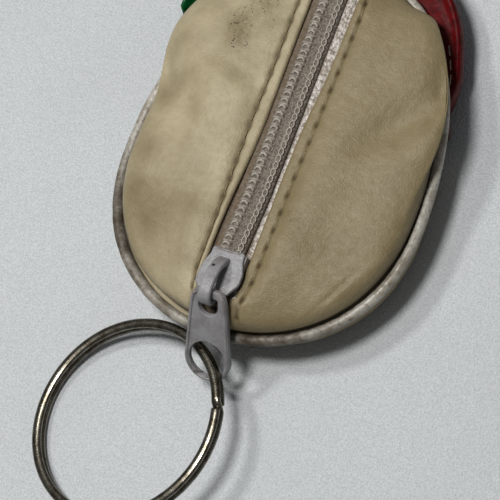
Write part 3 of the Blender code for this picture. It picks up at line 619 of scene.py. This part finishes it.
# Each piece: name, node, slot, finish, and its left, right, near and far cuts
for name, node, slot, finish, left, right, near, far in (
    ("cream_front", "front_panel_cream", "cream_vinyl", cream, -beyond, beyond, -beyond, band_near_edge),
    ("brown_band", "front_band_brown", "brown_vinyl", brown, -beyond, beyond, band_near_edge, band_far_edge),
    ("green_front", "front_panel_green", "green_vinyl", green, -beyond, far_seam_x, band_far_edge, beyond),
    ("red_front", "front_panel_red", "red_vinyl", red, far_seam_x, beyond, band_far_edge, beyond),
):
    front, points, (crease, soil_and_shade) = flat_grid(front_columns, front_rows, "crease", "soil_and_shade")
    for vert, column, row in points:
        vert.co = front_place(column, math.tau * row / front_rows)
        # The crease layer marks the painted shade along the pinched seams; the other layer darkens the wall
        # low down.
        vert[crease] = seam_pinch(vert.co.x, vert.co.y) ** 3 * 0.8
        vert[soil_and_shade] = 0.5 * hump(vert.co.z, 3, 3)
    bmesh.ops.remove_doubles(front, verts=front.verts, dist=0.002)
    for cut, outside in (
        ((left, 0, 0), (-1, 0, 0)), ((right, 0, 0), (1, 0, 0)),
        ((0, near, 0), (0, -1, 0)), ((0, far, 0), (0, 1, 0)),
    ):
        everything = [*front.verts, *front.edges, *front.faces]
        bmesh.ops.bisect_plane(front, geom=everything, plane_co=cut, plane_no=outside, clear_outer=True)
    turn_outward(front, -1)
    piece = add_piece(name, front, finish, "purse", slot, node)
    give_thickness(piece, front_vinyl)


# Piping. A narrow strip of white vinyl folded round a cord and caught in the seam, the cord's round
# edge standing out all the way round. It is scuffed and grey with dirt where it rubs, and painted
# darker along its underside and round the near end, where shade falls.
piping_radius = 0.84
piping_steps = 320


def draw_line(curve, places, closed=False):
    """Adds a line through these places to the curve."""
    line = curve.splines.new("POLY")
    line.points.add(len(places) - 1)
    for point, (x, y, z) in zip(line.points, places):
        point.co = (x, y, z, 1)
    line.use_cyclic_u = closed
    return line


def drawn_mesh(curve):
    """The curve as a clean mesh shape."""
    guide = show(bpy.data.objects.new("guide", curve))
    bpy.context.view_layer.update()
    made = bpy.data.meshes.new_from_object(guide.evaluated_get(bpy.context.evaluated_depsgraph_get()))
    shape = bmesh.new()
    shape.from_mesh(made)
    bpy.data.objects.remove(guide, do_unlink=True)
    bpy.data.meshes.remove(made)
    bpy.data.curves.remove(curve)
    bmesh.ops.remove_doubles(shape, verts=shape.verts, dist=0.0005)
    bmesh.ops.recalc_face_normals(shape, faces=shape.faces)
    return shape


def strands(lines, radius, closed=False, roundness=3, sizes=None):
    """Round threads, cords or wires of one thickness, each along its own line of points."""
    curve = bpy.data.curves.new("strands", "CURVE")
    curve.dimensions = "3D"
    curve.bevel_depth = radius
    curve.bevel_resolution = roundness
    curve.use_fill_caps = not closed
    for points in lines:
        line = draw_line(curve, points, closed)
        for point, size in zip(line.points, sizes or ()):
            point.radius = size
    return drawn_mesh(curve)


white = Finish("white_piping_worn")
white_cloud = white.noise(0.32, 4, 0.65)
white_streak = white.noise(1.6, 5, 0.7)
white_tone = white.tones(white_cloud, 0.35, 0.7, (186, 181, 170), (140, 130, 114))
white_scuffs = white.multiply(white.between(white_streak, 0.5, 0.68), 0.7)
white_tone = white.stained(white_tone, white_scuffs, (96, 82, 68))
# Darkened by the painted layer: dirt, and shade round the near end and underneath.
white_dirt_and_shade = white.multiply(white.painted("soil_and_shade"), white.between(white_cloud, 0.3, 0.65, 0.55, 1.0))
white.set(
    Base_Color=white.stained(white_tone, white_dirt_and_shade, (68, 59, 47)),
    Roughness=white.add(white.between(white_streak, 0.35, 0.7, 0.24, 0.42), white.multiply(white_dirt_and_shade, 0.3)),
    Specular_IOR_Level=0.5,
    Normal=white.bump(white.noise(1.2, 4), 0.12),
)
piping_points, piping_sizes = [], []
for step in range(piping_steps):
    angle = math.tau * step / piping_steps
    wander = noise.noise((math.cos(angle) * 4, math.sin(angle) * 4, 1.7))
    ripple = noise.noise((math.cos(angle) * 16, math.sin(angle) * 16, 5.2))
    rim = seam_point(angle)
    pulled = 0.12 * front_swell(rim.x, rim.y)[0] * ease(rim.y, 14, 20) * ease(-rim.x, 0, 8)
    rim += seam_outward(angle) * (0.1 * wander + pulled)
    piping_points.append((rim.x, rim.y, seam_height + 0.12 * ripple + 0.1 * wander))
    piping_sizes.append(1 + 0.05 * ripple)
piping = strands([piping_points], piping_radius, closed=True, roundness=6, sizes=piping_sizes)
soil_and_shade = piping.verts.layers.float.new("soil_and_shade")
# Painted darker: dirt at the lower left, shade round the near end and along the underside.
for vert in piping.verts:
    dirt = 1.15 * hump(math.hypot(vert.co.x - 6, vert.co.y + 27), 0, 14)
    dirt += 1.1 * hump(math.hypot(vert.co.x + 21, vert.co.y + 14), 0, 12)
    dirt += 0.3 * ease(-vert.co.z, -7.4, -6.4)
    vert[soil_and_shade] = min(dirt, 1)
add_piece("piping", piping, white, "purse", "white_piping_vinyl", "piping_cover")

# A few white stitches hold the red piece's edge close under the piping
edge_stitch_column = 11.2
edge_stitch_lines = []
for stitch in range(3):
    line = []
    for step in range(5):
        angle = math.radians(38) + 0.075 * stitch + 0.052 * step / 4
        place = front_place(edge_stitch_column, angle) + seam_outward(angle) * 0.04
        place.z += 0.02 + 0.08 * math.sin(math.pi * step / 4)
        line.append(place)
    edge_stitch_lines.append(line)


# Zip tapes. Two knitted tapes, white once and now grey, under the folded edges beside the chain. Both
# narrow towards their two ends, where they go into the seam. They are painted dark with dirt and
# shade: the left one all along under its fold, the right one beside the chain.
tape_columns, tape_rows = 24, 150
tape_inner_edge, tape_width = 0.12, 7.6
tape_near_end, tape_length = -25.0, 56.4
tape_height = 11.68
tape_thickness = 0.4
knit = Finish("zip_tape_knit")
knit_rib = knit.noise(1.5, 3, 0.6, place=knit.stretched(1.0, 1.8, 1.0))
knit_course = knit.noise(3.1, 3, 0.6, place=knit.stretched(1.0, 0.5, 1.0))
knit_weave = knit.multiply(knit_rib, knit_course)
knit_tone = knit.tones(knit_weave, 0.16, 0.34, (146, 135, 125), (242, 236, 230))
knit_dirt = knit.multiply(knit.between(knit.noise(0.5, 4), 0.45, 0.7), 0.4)
knit_tone = knit.stained(knit_tone, knit_dirt, (150, 134, 112))
# Darkened by the painted layer: dirt, and shade under the left fold and beside the chain.
knit_tone = knit.stained(knit_tone, knit.painted("soil_and_shade"), (99, 84, 66))
knit.set(Base_Color=knit_tone, Roughness=0.85, Specular_IOR_Level=0.2, Normal=knit.bump(knit_weave, 0.4))
for side, name, node in ((-1, "tape_left", "zip_tape_left"), (1, "tape_right", "zip_tape_right")):
    tape, points, (soil_and_shade,) = flat_grid(tape_columns, tape_rows, "soil_and_shade")
    for vert, column, row in points:
        y = tape_near_end + tape_length * row / tape_rows
        narrowed = 1 - 0.68 * (ease(-y, 18, 25) + ease(y, 25, 31.4))
        x = tape_inner_edge + tape_width * narrowed * column / tape_columns
        ripple = 0.05 * noise.noise((x * 0.9, y * 0.9, side))
        lifted = 0.5 * ease(x, 1.2, 2.0) * (1 - ease(x, 2.9, 3.5))
        if side > 0:
            lifted += (0.75 * hump(x, 2.5, 1.0) - lifted) * ease(y, 4, 14)
        vert.co = (side * x, y, min(tape_height, dome(x, y) - 1.35) + ripple + lifted - 0.05)
        # Painted dark: the left tape in its fold's shade and with dirt, the right one in the shade beside the
        # chain.
        vert[soil_and_shade] = 0.9 if side < 0 else 0.85 - 0.75 * ease(x, 2.1, 2.5)
    turn_outward(tape, 1)
    piece = add_piece(name, tape, knit, "purse", "white_tape", node)
    give_thickness(piece, tape_thickness)


# Zip chain. Each half is one nylon wire wound over a cord into a flattened coil whose heads lock into
# the other half's, held on its tape by chain stitches. Dirt has settled between the turns.
coil_pitch = 1.11
coil_near_end = -19.0
coil_far_end = 27.9
coil_turns = int((coil_far_end - coil_near_end) / coil_pitch)
coil_half_height = 0.34
steps_per_turn = 16

nylon = Finish("zip_coil_nylon")
nylon_dirt = nylon.noise(1.3, 5, 0.7)
nylon.set(
    Base_Color=nylon.tones(nylon_dirt, 0.35, 0.7, (151, 142, 132), (100, 91, 82)),
    Roughness=nylon.between(nylon_dirt, 0.3, 0.7, 0.35, 0.55),
    Normal=nylon.bump(nylon.noise(9, 3), 0.04),
)
sewing = Finish("sewing_thread")
sewing_twist = sewing.noise(6, 3, place=sewing.stretched(1, 1.6, 1))
sewing.set(
    Base_Color=sewing.tones(sewing_twist, 0.35, 0.65, (192, 185, 174), (138, 129, 118)),
    Roughness=0.7,
    Specular_IOR_Level=0.3,
    Normal=sewing.bump(sewing_twist, 0.08),
)
cord_knit = Finish("coil_cord_knit")
cord_loops = cord_knit.noise(3.4, 4, 0.7)
cord_knit.set(
    Base_Color=cord_knit.tones(cord_loops, 0.4, 0.62, (98, 90, 81), (147, 138, 128)),
    Roughness=0.85,
    Specular_IOR_Level=0.15,
    Normal=cord_knit.bump(cord_loops, 0.22),
)


def join_shapes(shapes):
    """Several shapes as one, each left as its own closed body."""
    whole = bmesh.new()
    for shape in shapes:
        part = bpy.data.meshes.new("part")
        shape.to_mesh(part)
        shape.free()
        whole.from_mesh(part)
        bpy.data.meshes.remove(part)
    return whole


def chain_drift(y):
    """The chain stands a little to the left where it nears the slider."""
    return -0.42 * (1 - ease(y, -15.5, -5)) * ease(y, -19, -16)


# Each half: side, names, start in the pitch, wire, height of its middle, outer and inner reach
for side, name, node, lead, wire, middle_height, outer, inner in (
    (-1, "coil_left", "zip_coil_left", 0.0, 0.27, 12.66, 1.72, 0.3),
    (1, "coil_right", "zip_coil_right", 0.5, 0.2, 12.52, 1.95, -0.02),
):
    points = []
    for step in range(coil_turns * steps_per_turn):
        turn, part = divmod(step, steps_per_turn)
        part /= steps_per_turn
        angle = math.tau * part
        x = (outer + inner) / 2 + (outer - inner) / 2 * signed_power(math.cos(angle), 0.7)
        z = middle_height + coil_half_height * signed_power(math.sin(angle), 0.8)
        slide = ease(part, 0.0, 0.5) * 0.15 + ease(part, 0.5, 1.0) * 0.85
        y = coil_near_end + coil_pitch * (turn + lead + slide)
        points.append((side * x + chain_drift(y), y, z))
    add_piece(name, strands([points], wire, roundness=2), nylon, "purse", "white_nylon", node)

# The cord that each coil is wound over, as strands side by side, the outermost ones lower. The right
# cord stands up between the turns. Each cord: side, name, radius, height, its strands' x
cord_steps = 120
for side, name, radius, middle_height, offsets in (
    (-1, "coil_cord_left", 0.46, 12.7, (0.12, 0.56, 0.98, 1.4)),
    (1, "coil_cord_right", 0.52, 12.66, (0.56, 0.98, 1.4, 1.76)),
):
    cords = []
    for x in offsets:
        line = []
        height = middle_height - 0.22 * (x > 1.5 or x < 0.5)
        for step in range(cord_steps):
            y = coil_near_end + (coil_far_end - coil_near_end) * step / (cord_steps - 1)
            wander = 0.03 * noise.noise((x, y * 1.7, side))
            line.append((side * x + chain_drift(y), y, height + wander))
        cords.append(line)
    add_piece(name, strands(cords, radius, roundness=3), cord_knit, "purse", "white_nylon")

# Chain stitches: short open links on the left, longer and thinner rings on the right
open_link = (
    (-1.5, -0.3, 13.12), (-1.25, 0.08, 13.24), (-0.85, 0.2, 13.28), (-0.5, 0.02, 13.2), (-0.42, -0.34, 13.08),
)
tapered_ends = (0.7, 1, 1.1, 1, 0.7)
ring_link_x, ring_link_height = 1.52, 13.2
open_link_radius, ring_link_radius, edge_stitch_radius = 0.2, 0.13, 0.1
ring_link_steps = 10
left_links, right_links = [], []
for turn in range(coil_turns):
    y = coil_near_end + coil_pitch * (turn + 0.62)
    drift = chain_drift(y)
    left_links.append([(x + drift, y + shift, z) for x, shift, z in open_link])
    link = []
    for step in range(ring_link_steps):
        angle = math.tau * step / ring_link_steps
        across, along = 0.36 * math.cos(angle), 0.58 * math.sin(angle)
        link.append((ring_link_x + across + drift, y + along, ring_link_height + 0.07 * math.sin(angle)))
    right_links.append(link)
for name, shape in (
    ("chain_stitches_left", strands(left_links, open_link_radius, roundness=2, sizes=tapered_ends)),
    ("chain_stitches_right", strands(right_links, ring_link_radius, closed=True, roundness=1)),
    ("edge_stitches_red", strands(edge_stitch_lines, edge_stitch_radius, roundness=1)),
):
    add_piece(name, shape, sewing, "purse", "cream_thread")


# Topstitching and end bars. A row of lockstitches holds each folded edge to its tape, pulled tight
# into the vinyl, and a bar of thread across each end of the zip stops the slider.
topstitch_radius = 0.14
end_bar_radius = 0.15
end_bar_half_width = 2.7
thread = Finish("cream_sewing_thread")
thread_twist = thread.noise(7, 3)
thread.set(
    Base_Color=thread.tones(thread_twist, 0.35, 0.65, (146, 132, 100), (98, 84, 60)),
    Roughness=0.75,
    Specular_IOR_Level=0.25,
    Normal=thread.bump(thread_twist, 0.06),
)
for side, name, node in (
    (-1, "topstitching_left", "topstitch_left"),
    (1, "topstitching_right", "topstitch_right"),
):
    stitches = []
    for stitch in range(int((last_stitch - first_stitch) / stitch_pitch)):
        line = []
        for step in range(9):
            part = step / 8
            y = first_stitch + stitch_pitch * (stitch + 0.09 + 0.82 * part)
            x = side * (stitch_line(side, y) - 0.04)
            lift = -0.26 + 0.32 * math.sin(math.pi * part) ** 0.5
            line.append((x, y, back_top(x, y) + lift))
        stitches.append(line)
    shape = strands(stitches, topstitch_radius, roundness=1)
    add_piece(name, shape, thread, "purse", "cream_thread", node)
for name, node, bar_y in (("near_bar", "near_end_tack", -22.85), ("far_bar", "far_end_tack", 28.6)):
    height = min(11.7, dome(3.2, bar_y) - 1.3) + 0.3
    wraps = []
    for wrap in range(3):
        line = []
        for step in range(13):
            x = end_bar_half_width * (step / 6 - 1)
            y = bar_y + 0.22 * (wrap - 1) + 0.05 * math.sin(x * 3 + wrap)
            line.append((x, y, height + 0.03 * (wrap % 2)))
        wraps.append(line)
    add_piece(name, strands(wraps, end_bar_radius, roundness=1), thread, "purse", "cream_thread", node)


# Slider. Two die-cast zinc plates joined by a post at the nose, with a bridge cast on top for the
# pull tab. Its grey-white enamel is rubbed and chipped at the edges.
enamel = Finish("worn_grey_enamel")
enamel_fine = enamel.noise(3.2, 5, 0.7)
enamel_tone = enamel.tones(enamel.noise(0.55, 4, 0.6), 0.35, 0.7, (141, 140, 142), (122, 119, 120))
enamel_patches = enamel.multiply(enamel.between(enamel_fine, 0.55, 0.75), 0.6)
enamel_tone = enamel.stained(enamel_tone, enamel_patches, (104, 94, 88))
enamel_edge = enamel.node("ShaderNodeNewGeometry").outputs["Pointiness"]
enamel_rub = enamel.multiply(enamel.between(enamel_edge, 0.53, 0.6), enamel.between(enamel_fine, 0.4, 0.6))
enamel_tone = enamel.stained(enamel_tone, enamel_rub, (120, 108, 102))
# Chips low down, round the tab's big hole
enamel_height = enamel.node("ShaderNodeSeparateXYZ", {"Vector": enamel.place}).outputs["Z"]
enamel_low = enamel.between(enamel_height, 4.6, 6.6, 1.0, 0.0)
enamel_chip = enamel.multiply(enamel.between(enamel.noise(1.3, 3), 0.47, 0.54), enamel_low)
enamel_tone = enamel.stained(enamel_tone, enamel_chip, (62, 55, 50))
# A dark spot of painted shade for the casting's small round pit on top of the bridge, which the shape has no
# hollow for
pit_middle = (-0.55, -18.3, 16.5)
from_pit = enamel.node("ShaderNodeVectorMath", {0: enamel.place, 1: pit_middle}, operation="DISTANCE")
enamel_pit_shade = enamel.between(from_pit.outputs["Value"], 0.2, 0.34, 1.0, 0.0)
enamel.set(
    Base_Color=enamel.stained(enamel_tone, enamel_pit_shade, (40, 34, 32)),
    Roughness=enamel.between(enamel_fine, 0.3, 0.7, 0.32, 0.5),
    Specular_IOR_Level=0.5,
    Normal=enamel.bump(enamel.noise(1.6, 4), 0.1),
)


def plate(outlines, thickness, rounding, height=0):
    """A flat plate with holes and rounded rims, its thickness centred on this height."""
    curve = bpy.data.curves.new("plate", "CURVE")
    curve.dimensions = "2D"
    curve.fill_mode = "BOTH"
    curve.extrude = thickness / 2 - rounding
    curve.bevel_depth = rounding
    curve.bevel_resolution = 3
    curve.offset = -rounding
    for outline in outlines:
        draw_line(curve, [(x, y, 0) for x, y in outline], closed=True)
    shape = drawn_mesh(curve)
    bmesh.ops.translate(shape, vec=(0, 0, height), verts=shape.verts)
    return shape


def rounded_line(corners, rounding):
    """The corners' polygon with each corner turned into a short arc."""
    points = []
    count = len(corners)
    for index in range(count):
        before, corner, after = (Vector(corners[(index + turn) % count]) for turn in (-1, 0, 1))
        to_before, to_after = before - corner, after - corner
        reach = min(rounding, to_before.length * 0.48, to_after.length * 0.48)
        start = corner + to_before.normalized() * reach
        end = corner + to_after.normalized() * reach
        for step in range(6):
            part = step / 5
            middle = start.lerp(corner, part).lerp(corner.lerp(end, part), part)
            points.append((middle.x, middle.y))
    return points


nose_y = -22.1
mouth_y = -14.9
plate_thickness = 0.7
mouth_rim_radius = 0.26
post_height, post_middle = 3.2, 12.1
flange_height, flange_middle = 1.6, 12.85
top_plate_height = 13.85
bottom_plate_height = 10.4
# The plate's right and left sides as x and distance from the mouth, down to the nose
right_side = ((2.62, 0), (2.66, 1.2), (3.42, 3.2), (3.42, 4.9), (2.0, 7.0), (1.4, mouth_y - nose_y))
left_side = ((-2.62, 0), (-2.66, 1.2), (-3.4, 3.1), (-3.55, 5.8), (-2.3, 7.1), (-1.4, mouth_y - nose_y))
plate_corners = [(x, mouth_y - down) for x, down in (*right_side, *reversed(left_side))]
plate_outline = rounded_line(plate_corners, 0.45)
rim_line = (
    (-2.45, 0.34, 13.96), (-1.4, 0.28, 14.02), (0, 0.26, 14.04), (1.4, 0.28, 14.02), (2.45, 0.34, 13.96),
)
mouth_rim = [(x, mouth_y - down, z) for x, down, z in rim_line]
post_corners = [(0, nose_y + 0.3), (0.7, nose_y + 1.5), (0, nose_y + 2.7), (-0.7, nose_y + 1.5)]
slider_shapes = [
    plate([plate_outline], plate_thickness, 0.2, top_plate_height),
    plate([plate_outline], plate_thickness, 0.15, bottom_plate_height),
    strands([mouth_rim], mouth_rim_radius, roundness=4, sizes=tapered_ends),
    plate([rounded_line(post_corners, 0.4)], post_height, 0.1, post_middle),
]
flange_inner, flange_outer = 2.46, 2.86
flange_near_end, flange_far_end = mouth_y - 5.3, mouth_y - 0.25
for side in (-1, 1):
    flange_corners = [
        (side * flange_inner, flange_near_end), (side * flange_outer, flange_near_end),
        (side * flange_outer, flange_far_end), (side * flange_inner, flange_far_end),
    ]
    flange_outline = rounded_line(flange_corners, 0.1)
    slider_shapes.append(plate([flange_outline], flange_height, 0.08, flange_middle))
# The bridge's side view as (along the zip, height): over the tab's bar in one arch, then back inside
bridge_outer = [
    (-16.1, 13.8), (-16.3, 14.4), (-17.1, 15.6), (-18.7, 16.75), (-20.6, 17.1),
    (-22.4, 17.08), (-23.6, 16.6), (-24.1, 15.5), (-23.95, 14.2), (-23.2, 13.55),
]
bridge_inner = [
    (-21.7, 13.6), (-22.2, 14.05), (-23.1, 14.3), (-23.25, 15.3), (-22.9, 16.0), (-21.8, 16.28),
    (-20.0, 16.2), (-18.8, 15.75), (-17.9, 14.95), (-17.5, 14.2), (-17.3, 13.6),
]
bridge_width = 2.0
bridge_x = -0.22
bridge = plate([rounded_line([*bridge_outer, *bridge_inner], 0.7)], bridge_width, 0.33)
stand_up = Matrix(((0, 0, 1, bridge_x), (1, 0, 0, 0), (0, 1, 0, 0), (0, 0, 0, 1)))
bmesh.ops.transform(bridge, matrix=stand_up, verts=bridge.verts)
slider = join_shapes([*slider_shapes, bridge])
add_piece("slider_body", slider, enamel, "slider", "grey_enamel_zinc", "zip_slider")


# Pull tab. A stamped and enamelled zinc plate that hangs by its bar in the slider's bridge. A small
# hole clears the bridge, the big round one carries the key ring, and a low rim runs along its edge.
tab_slope = math.radians(47.7)
tab_pivot = Vector((0, -22.3, 15.3))
tab_thickness = 0.96
tab_end = (0, -11.3)
tab_end_radius = 3.72
big_hole_radius = 2.97
tab_rim_inset, tab_rim_height, tab_rim_radius = 0.33, 0.44, 0.24


def arc(centre, radius, start, end, steps):
    points = []
    for step in range(steps + 1):
        angle = start + (end - start) * step / steps
        points.append((centre[0] + radius * math.cos(angle), centre[1] + radius * math.sin(angle)))
    return points


def tab_side(inset):
    """The tab's outline down its left side, round its end and up its right side."""
    top = [(-1.7 + inset, 0.62 - inset), (-2.3 + inset, 0.3 - inset), (-2.72 + inset, -0.5)]
    top += [(-2.95 + inset, -1.6), (-3.12 + inset, -3.2), (-3.3 + inset, -5.6), (-3.5 + inset, -8.6)]
    end = arc(tab_end, tab_end_radius - inset, math.pi, math.tau, 40)
    return top + end + [(-x, y) for x, y in reversed(top)]


tab_big_hole = arc(tab_end, big_hole_radius, 0, math.tau, 48)[:-1]
tab_small_hole = [(1.3, -0.66), (-1.3, -0.66), (-1.58, -0.85)]
tab_small_hole += arc((0, -2.1), 1.62, math.pi, math.tau, 20)
tab_small_hole += [(1.58, -0.85)]
tab_flat = plate([tab_side(0), tab_big_hole, tab_small_hole], tab_thickness, 0.16)
tab_rim = [(x, y, tab_rim_height) for x, y in tab_side(tab_rim_inset)[1:-1]]
tab = join_shapes([tab_flat, strands([tab_rim], tab_rim_radius, roundness=3)])
tab_turn = Matrix.Translation(tab_pivot) @ Matrix.Rotation(tab_slope, 4, "X")
bmesh.ops.transform(tab, matrix=tab_turn, verts=tab.verts)
add_piece("tab_plate", tab, enamel, "tab", "grey_enamel_zinc", "pull_tab")


# Split ring. Two turns of flattened spring-steel wire, nickel plated and dulled, their ends side by
# side. It passes through the tab's big hole and rests on the table.
ring_radius = 15.25
ring_pitch = 1.08
ring_wire_half_width, ring_wire_half_height = 0.74, 0.48
ring_profile_steps, ring_steps = 16, 480
ring_slope = math.radians(12.7)
steel = Finish("dulled_nickel")
steel_scratch = steel.noise(4.5, 5, 0.7)
steel.set(
    Base_Color=steel.tones(steel.noise(0.7, 4), 0.35, 0.7, (132, 127, 116), (92, 86, 75)),
    Metallic=1.0,
    Roughness=steel.between(steel_scratch, 0.35, 0.7, 0.2, 0.32),
    Normal=steel.bump(steel_scratch, 0.005),
)
ring_profile = bpy.data.curves.new("ring_profile", "CURVE")
ring_profile.dimensions = "2D"
ring_profile_places = []
for step in range(ring_profile_steps):
    angle = math.tau * step / ring_profile_steps
    across = ring_wire_half_width * signed_power(math.cos(angle), 0.85)
    up = ring_wire_half_height * signed_power(math.sin(angle), 0.85)
    ring_profile_places.append((across, up, 0))
draw_line(ring_profile, ring_profile_places, closed=True)
ring_section = show(bpy.data.objects.new("ring_profile", ring_profile))
ring_curve = bpy.data.curves.new("ring_wire", "CURVE")
ring_curve.dimensions = "3D"
ring_curve.twist_mode = "Z_UP"
ring_curve.bevel_mode = "OBJECT"
ring_curve.bevel_object = ring_section
ring_curve.use_fill_caps = True
# The wire steps from the lower turn to the upper one over a short arc, between its two ends
ring_step = math.radians(360 + 20)
ring_half_step = math.radians(3.4)
ring_start = ring_step - math.tau + ring_half_step / 2
ring_end = ring_step + math.tau - ring_half_step / 2
ring_places = []
for step in range(ring_steps + 1):
    angle = ring_start + (ring_end - ring_start) * step / ring_steps
    height = (ease(angle, ring_step - ring_half_step, ring_step + ring_half_step) - 0.5) * ring_pitch
    ring_places.append((ring_radius * math.cos(angle), ring_radius * math.sin(angle), height))
draw_line(ring_curve, ring_places)
ring = drawn_mesh(ring_curve)
bpy.data.objects.remove(ring_section, do_unlink=True)
ring_low, ring_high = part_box("split_ring")
ring_middle = (ring_low + ring_high) * 500
ring_tilt = Matrix.Translation(ring_middle) @ Matrix.Rotation(-ring_slope, 4, "Y")
bmesh.ops.transform(ring, matrix=ring_tilt, verts=ring.verts)
add_piece("key_ring", ring, steel, "ring", "nickel_steel", "split_ring")


# Inside. A foam pad keeps the front plump, a cloth lining sewn into the seam covers it, and a filler
# cord runs in the piping. None of them shows from outside.
foam = Finish("white_foam")
foam_cells = foam.cells(2.2)
foam.set(
    Base_Color=foam.tones(foam_cells, 0.1, 0.6, (176, 170, 156), (214, 210, 198)),
    Roughness=0.95,
    Normal=foam.bump(foam_cells, 0.25),
)
cloth = Finish("grey_lining_weave")
cloth_bands = []
for direction in ("X", "Y"):
    bands = cloth.node("ShaderNodeTexWave", {"Vector": cloth.place, "Scale": 0.8}, bands_direction=direction)
    cloth_bands.append(bands.outputs["Fac"])
cloth_weave = cloth.add(*cloth_bands)
cloth.set(
    Base_Color=cloth.tones(cloth_weave, 0.4, 1.6, (104, 100, 94), (150, 146, 138)),
    Roughness=0.9,
    Normal=cloth.bump(cloth_weave, 0.1),
)


def disc_shape(rows, columns, place):
    """A round sheet: the grid's columns run from its rim to its middle."""
    sheet, points, _ = flat_grid(columns, rows)
    for vert, column, row in points:
        vert.co = place(column / columns, math.tau * row / rows)
    bmesh.ops.remove_doubles(sheet, verts=sheet.verts, dist=0.002)
    bmesh.ops.recalc_face_normals(sheet, faces=sheet.faces)
    return sheet


def pad_place(inward, angle):
    """Over the pad's top from its rim to the middle for the first half, then back underneath."""
    share = abs(1 - 2 * inward)
    crown = 0.6 * (1 - share**6) ** 0.5
    place = seam_point(angle, 0.74 * share)
    place.z = 1.7 + (crown if inward < 0.5 else -crown)
    return place


pad = disc_shape(96, 40, pad_place)
pad_piece = add_piece("foam_pad", pad, foam, "purse", "white_foam", "front_padding")

lining_wall_share = 0.4
lining_height = 2.87
lining_inset = 4.15
lining_thickness = 0.25


def lining_place(inward, angle):
    """Down from the seam inside the wall, then in over the pad to the middle."""
    rim, outward = seam_point(angle), seam_outward(angle)
    if inward < lining_wall_share:
        drop = inward / lining_wall_share
        inset = 1.75 + 2.4 * ease(drop, 0.45, 1.0)
        wrinkle = 0.08 * noise.noise((rim.x * 0.6, rim.y * 0.6, drop * 2))
        place = rim - outward * (inset + wrinkle)
        place.z = 5.42 - 2.55 * ease(drop, 0.0, 0.9)
        return place
    share = 1 - (inward - lining_wall_share) / (1 - lining_wall_share)
    inner = rim - outward * lining_inset
    place = Vector((inner.x * share, widest_y + (inner.y - widest_y) * share, 0))
    place.z = lining_height + 0.06 * noise.noise((place.x * 0.4, place.y * 0.4, 2.0))
    return place


lining = disc_shape(120, 40, lining_place)
lining_piece = add_piece("cloth_lining", lining, cloth, "purse", "grey_lining", "front_lining")
give_thickness(lining_piece, lining_thickness)
filler_steps, filler_radius = 160, 0.32
filler_points = []
for step in range(filler_steps):
    rim = seam_point(math.tau * step / filler_steps)
    filler_points.append((rim.x, rim.y, seam_height))
filler = strands([filler_points], filler_radius, closed=True, roundness=2)
add_piece("piping_filler_cord", filler, sewing, "purse", "white_cord", "piping_cord")
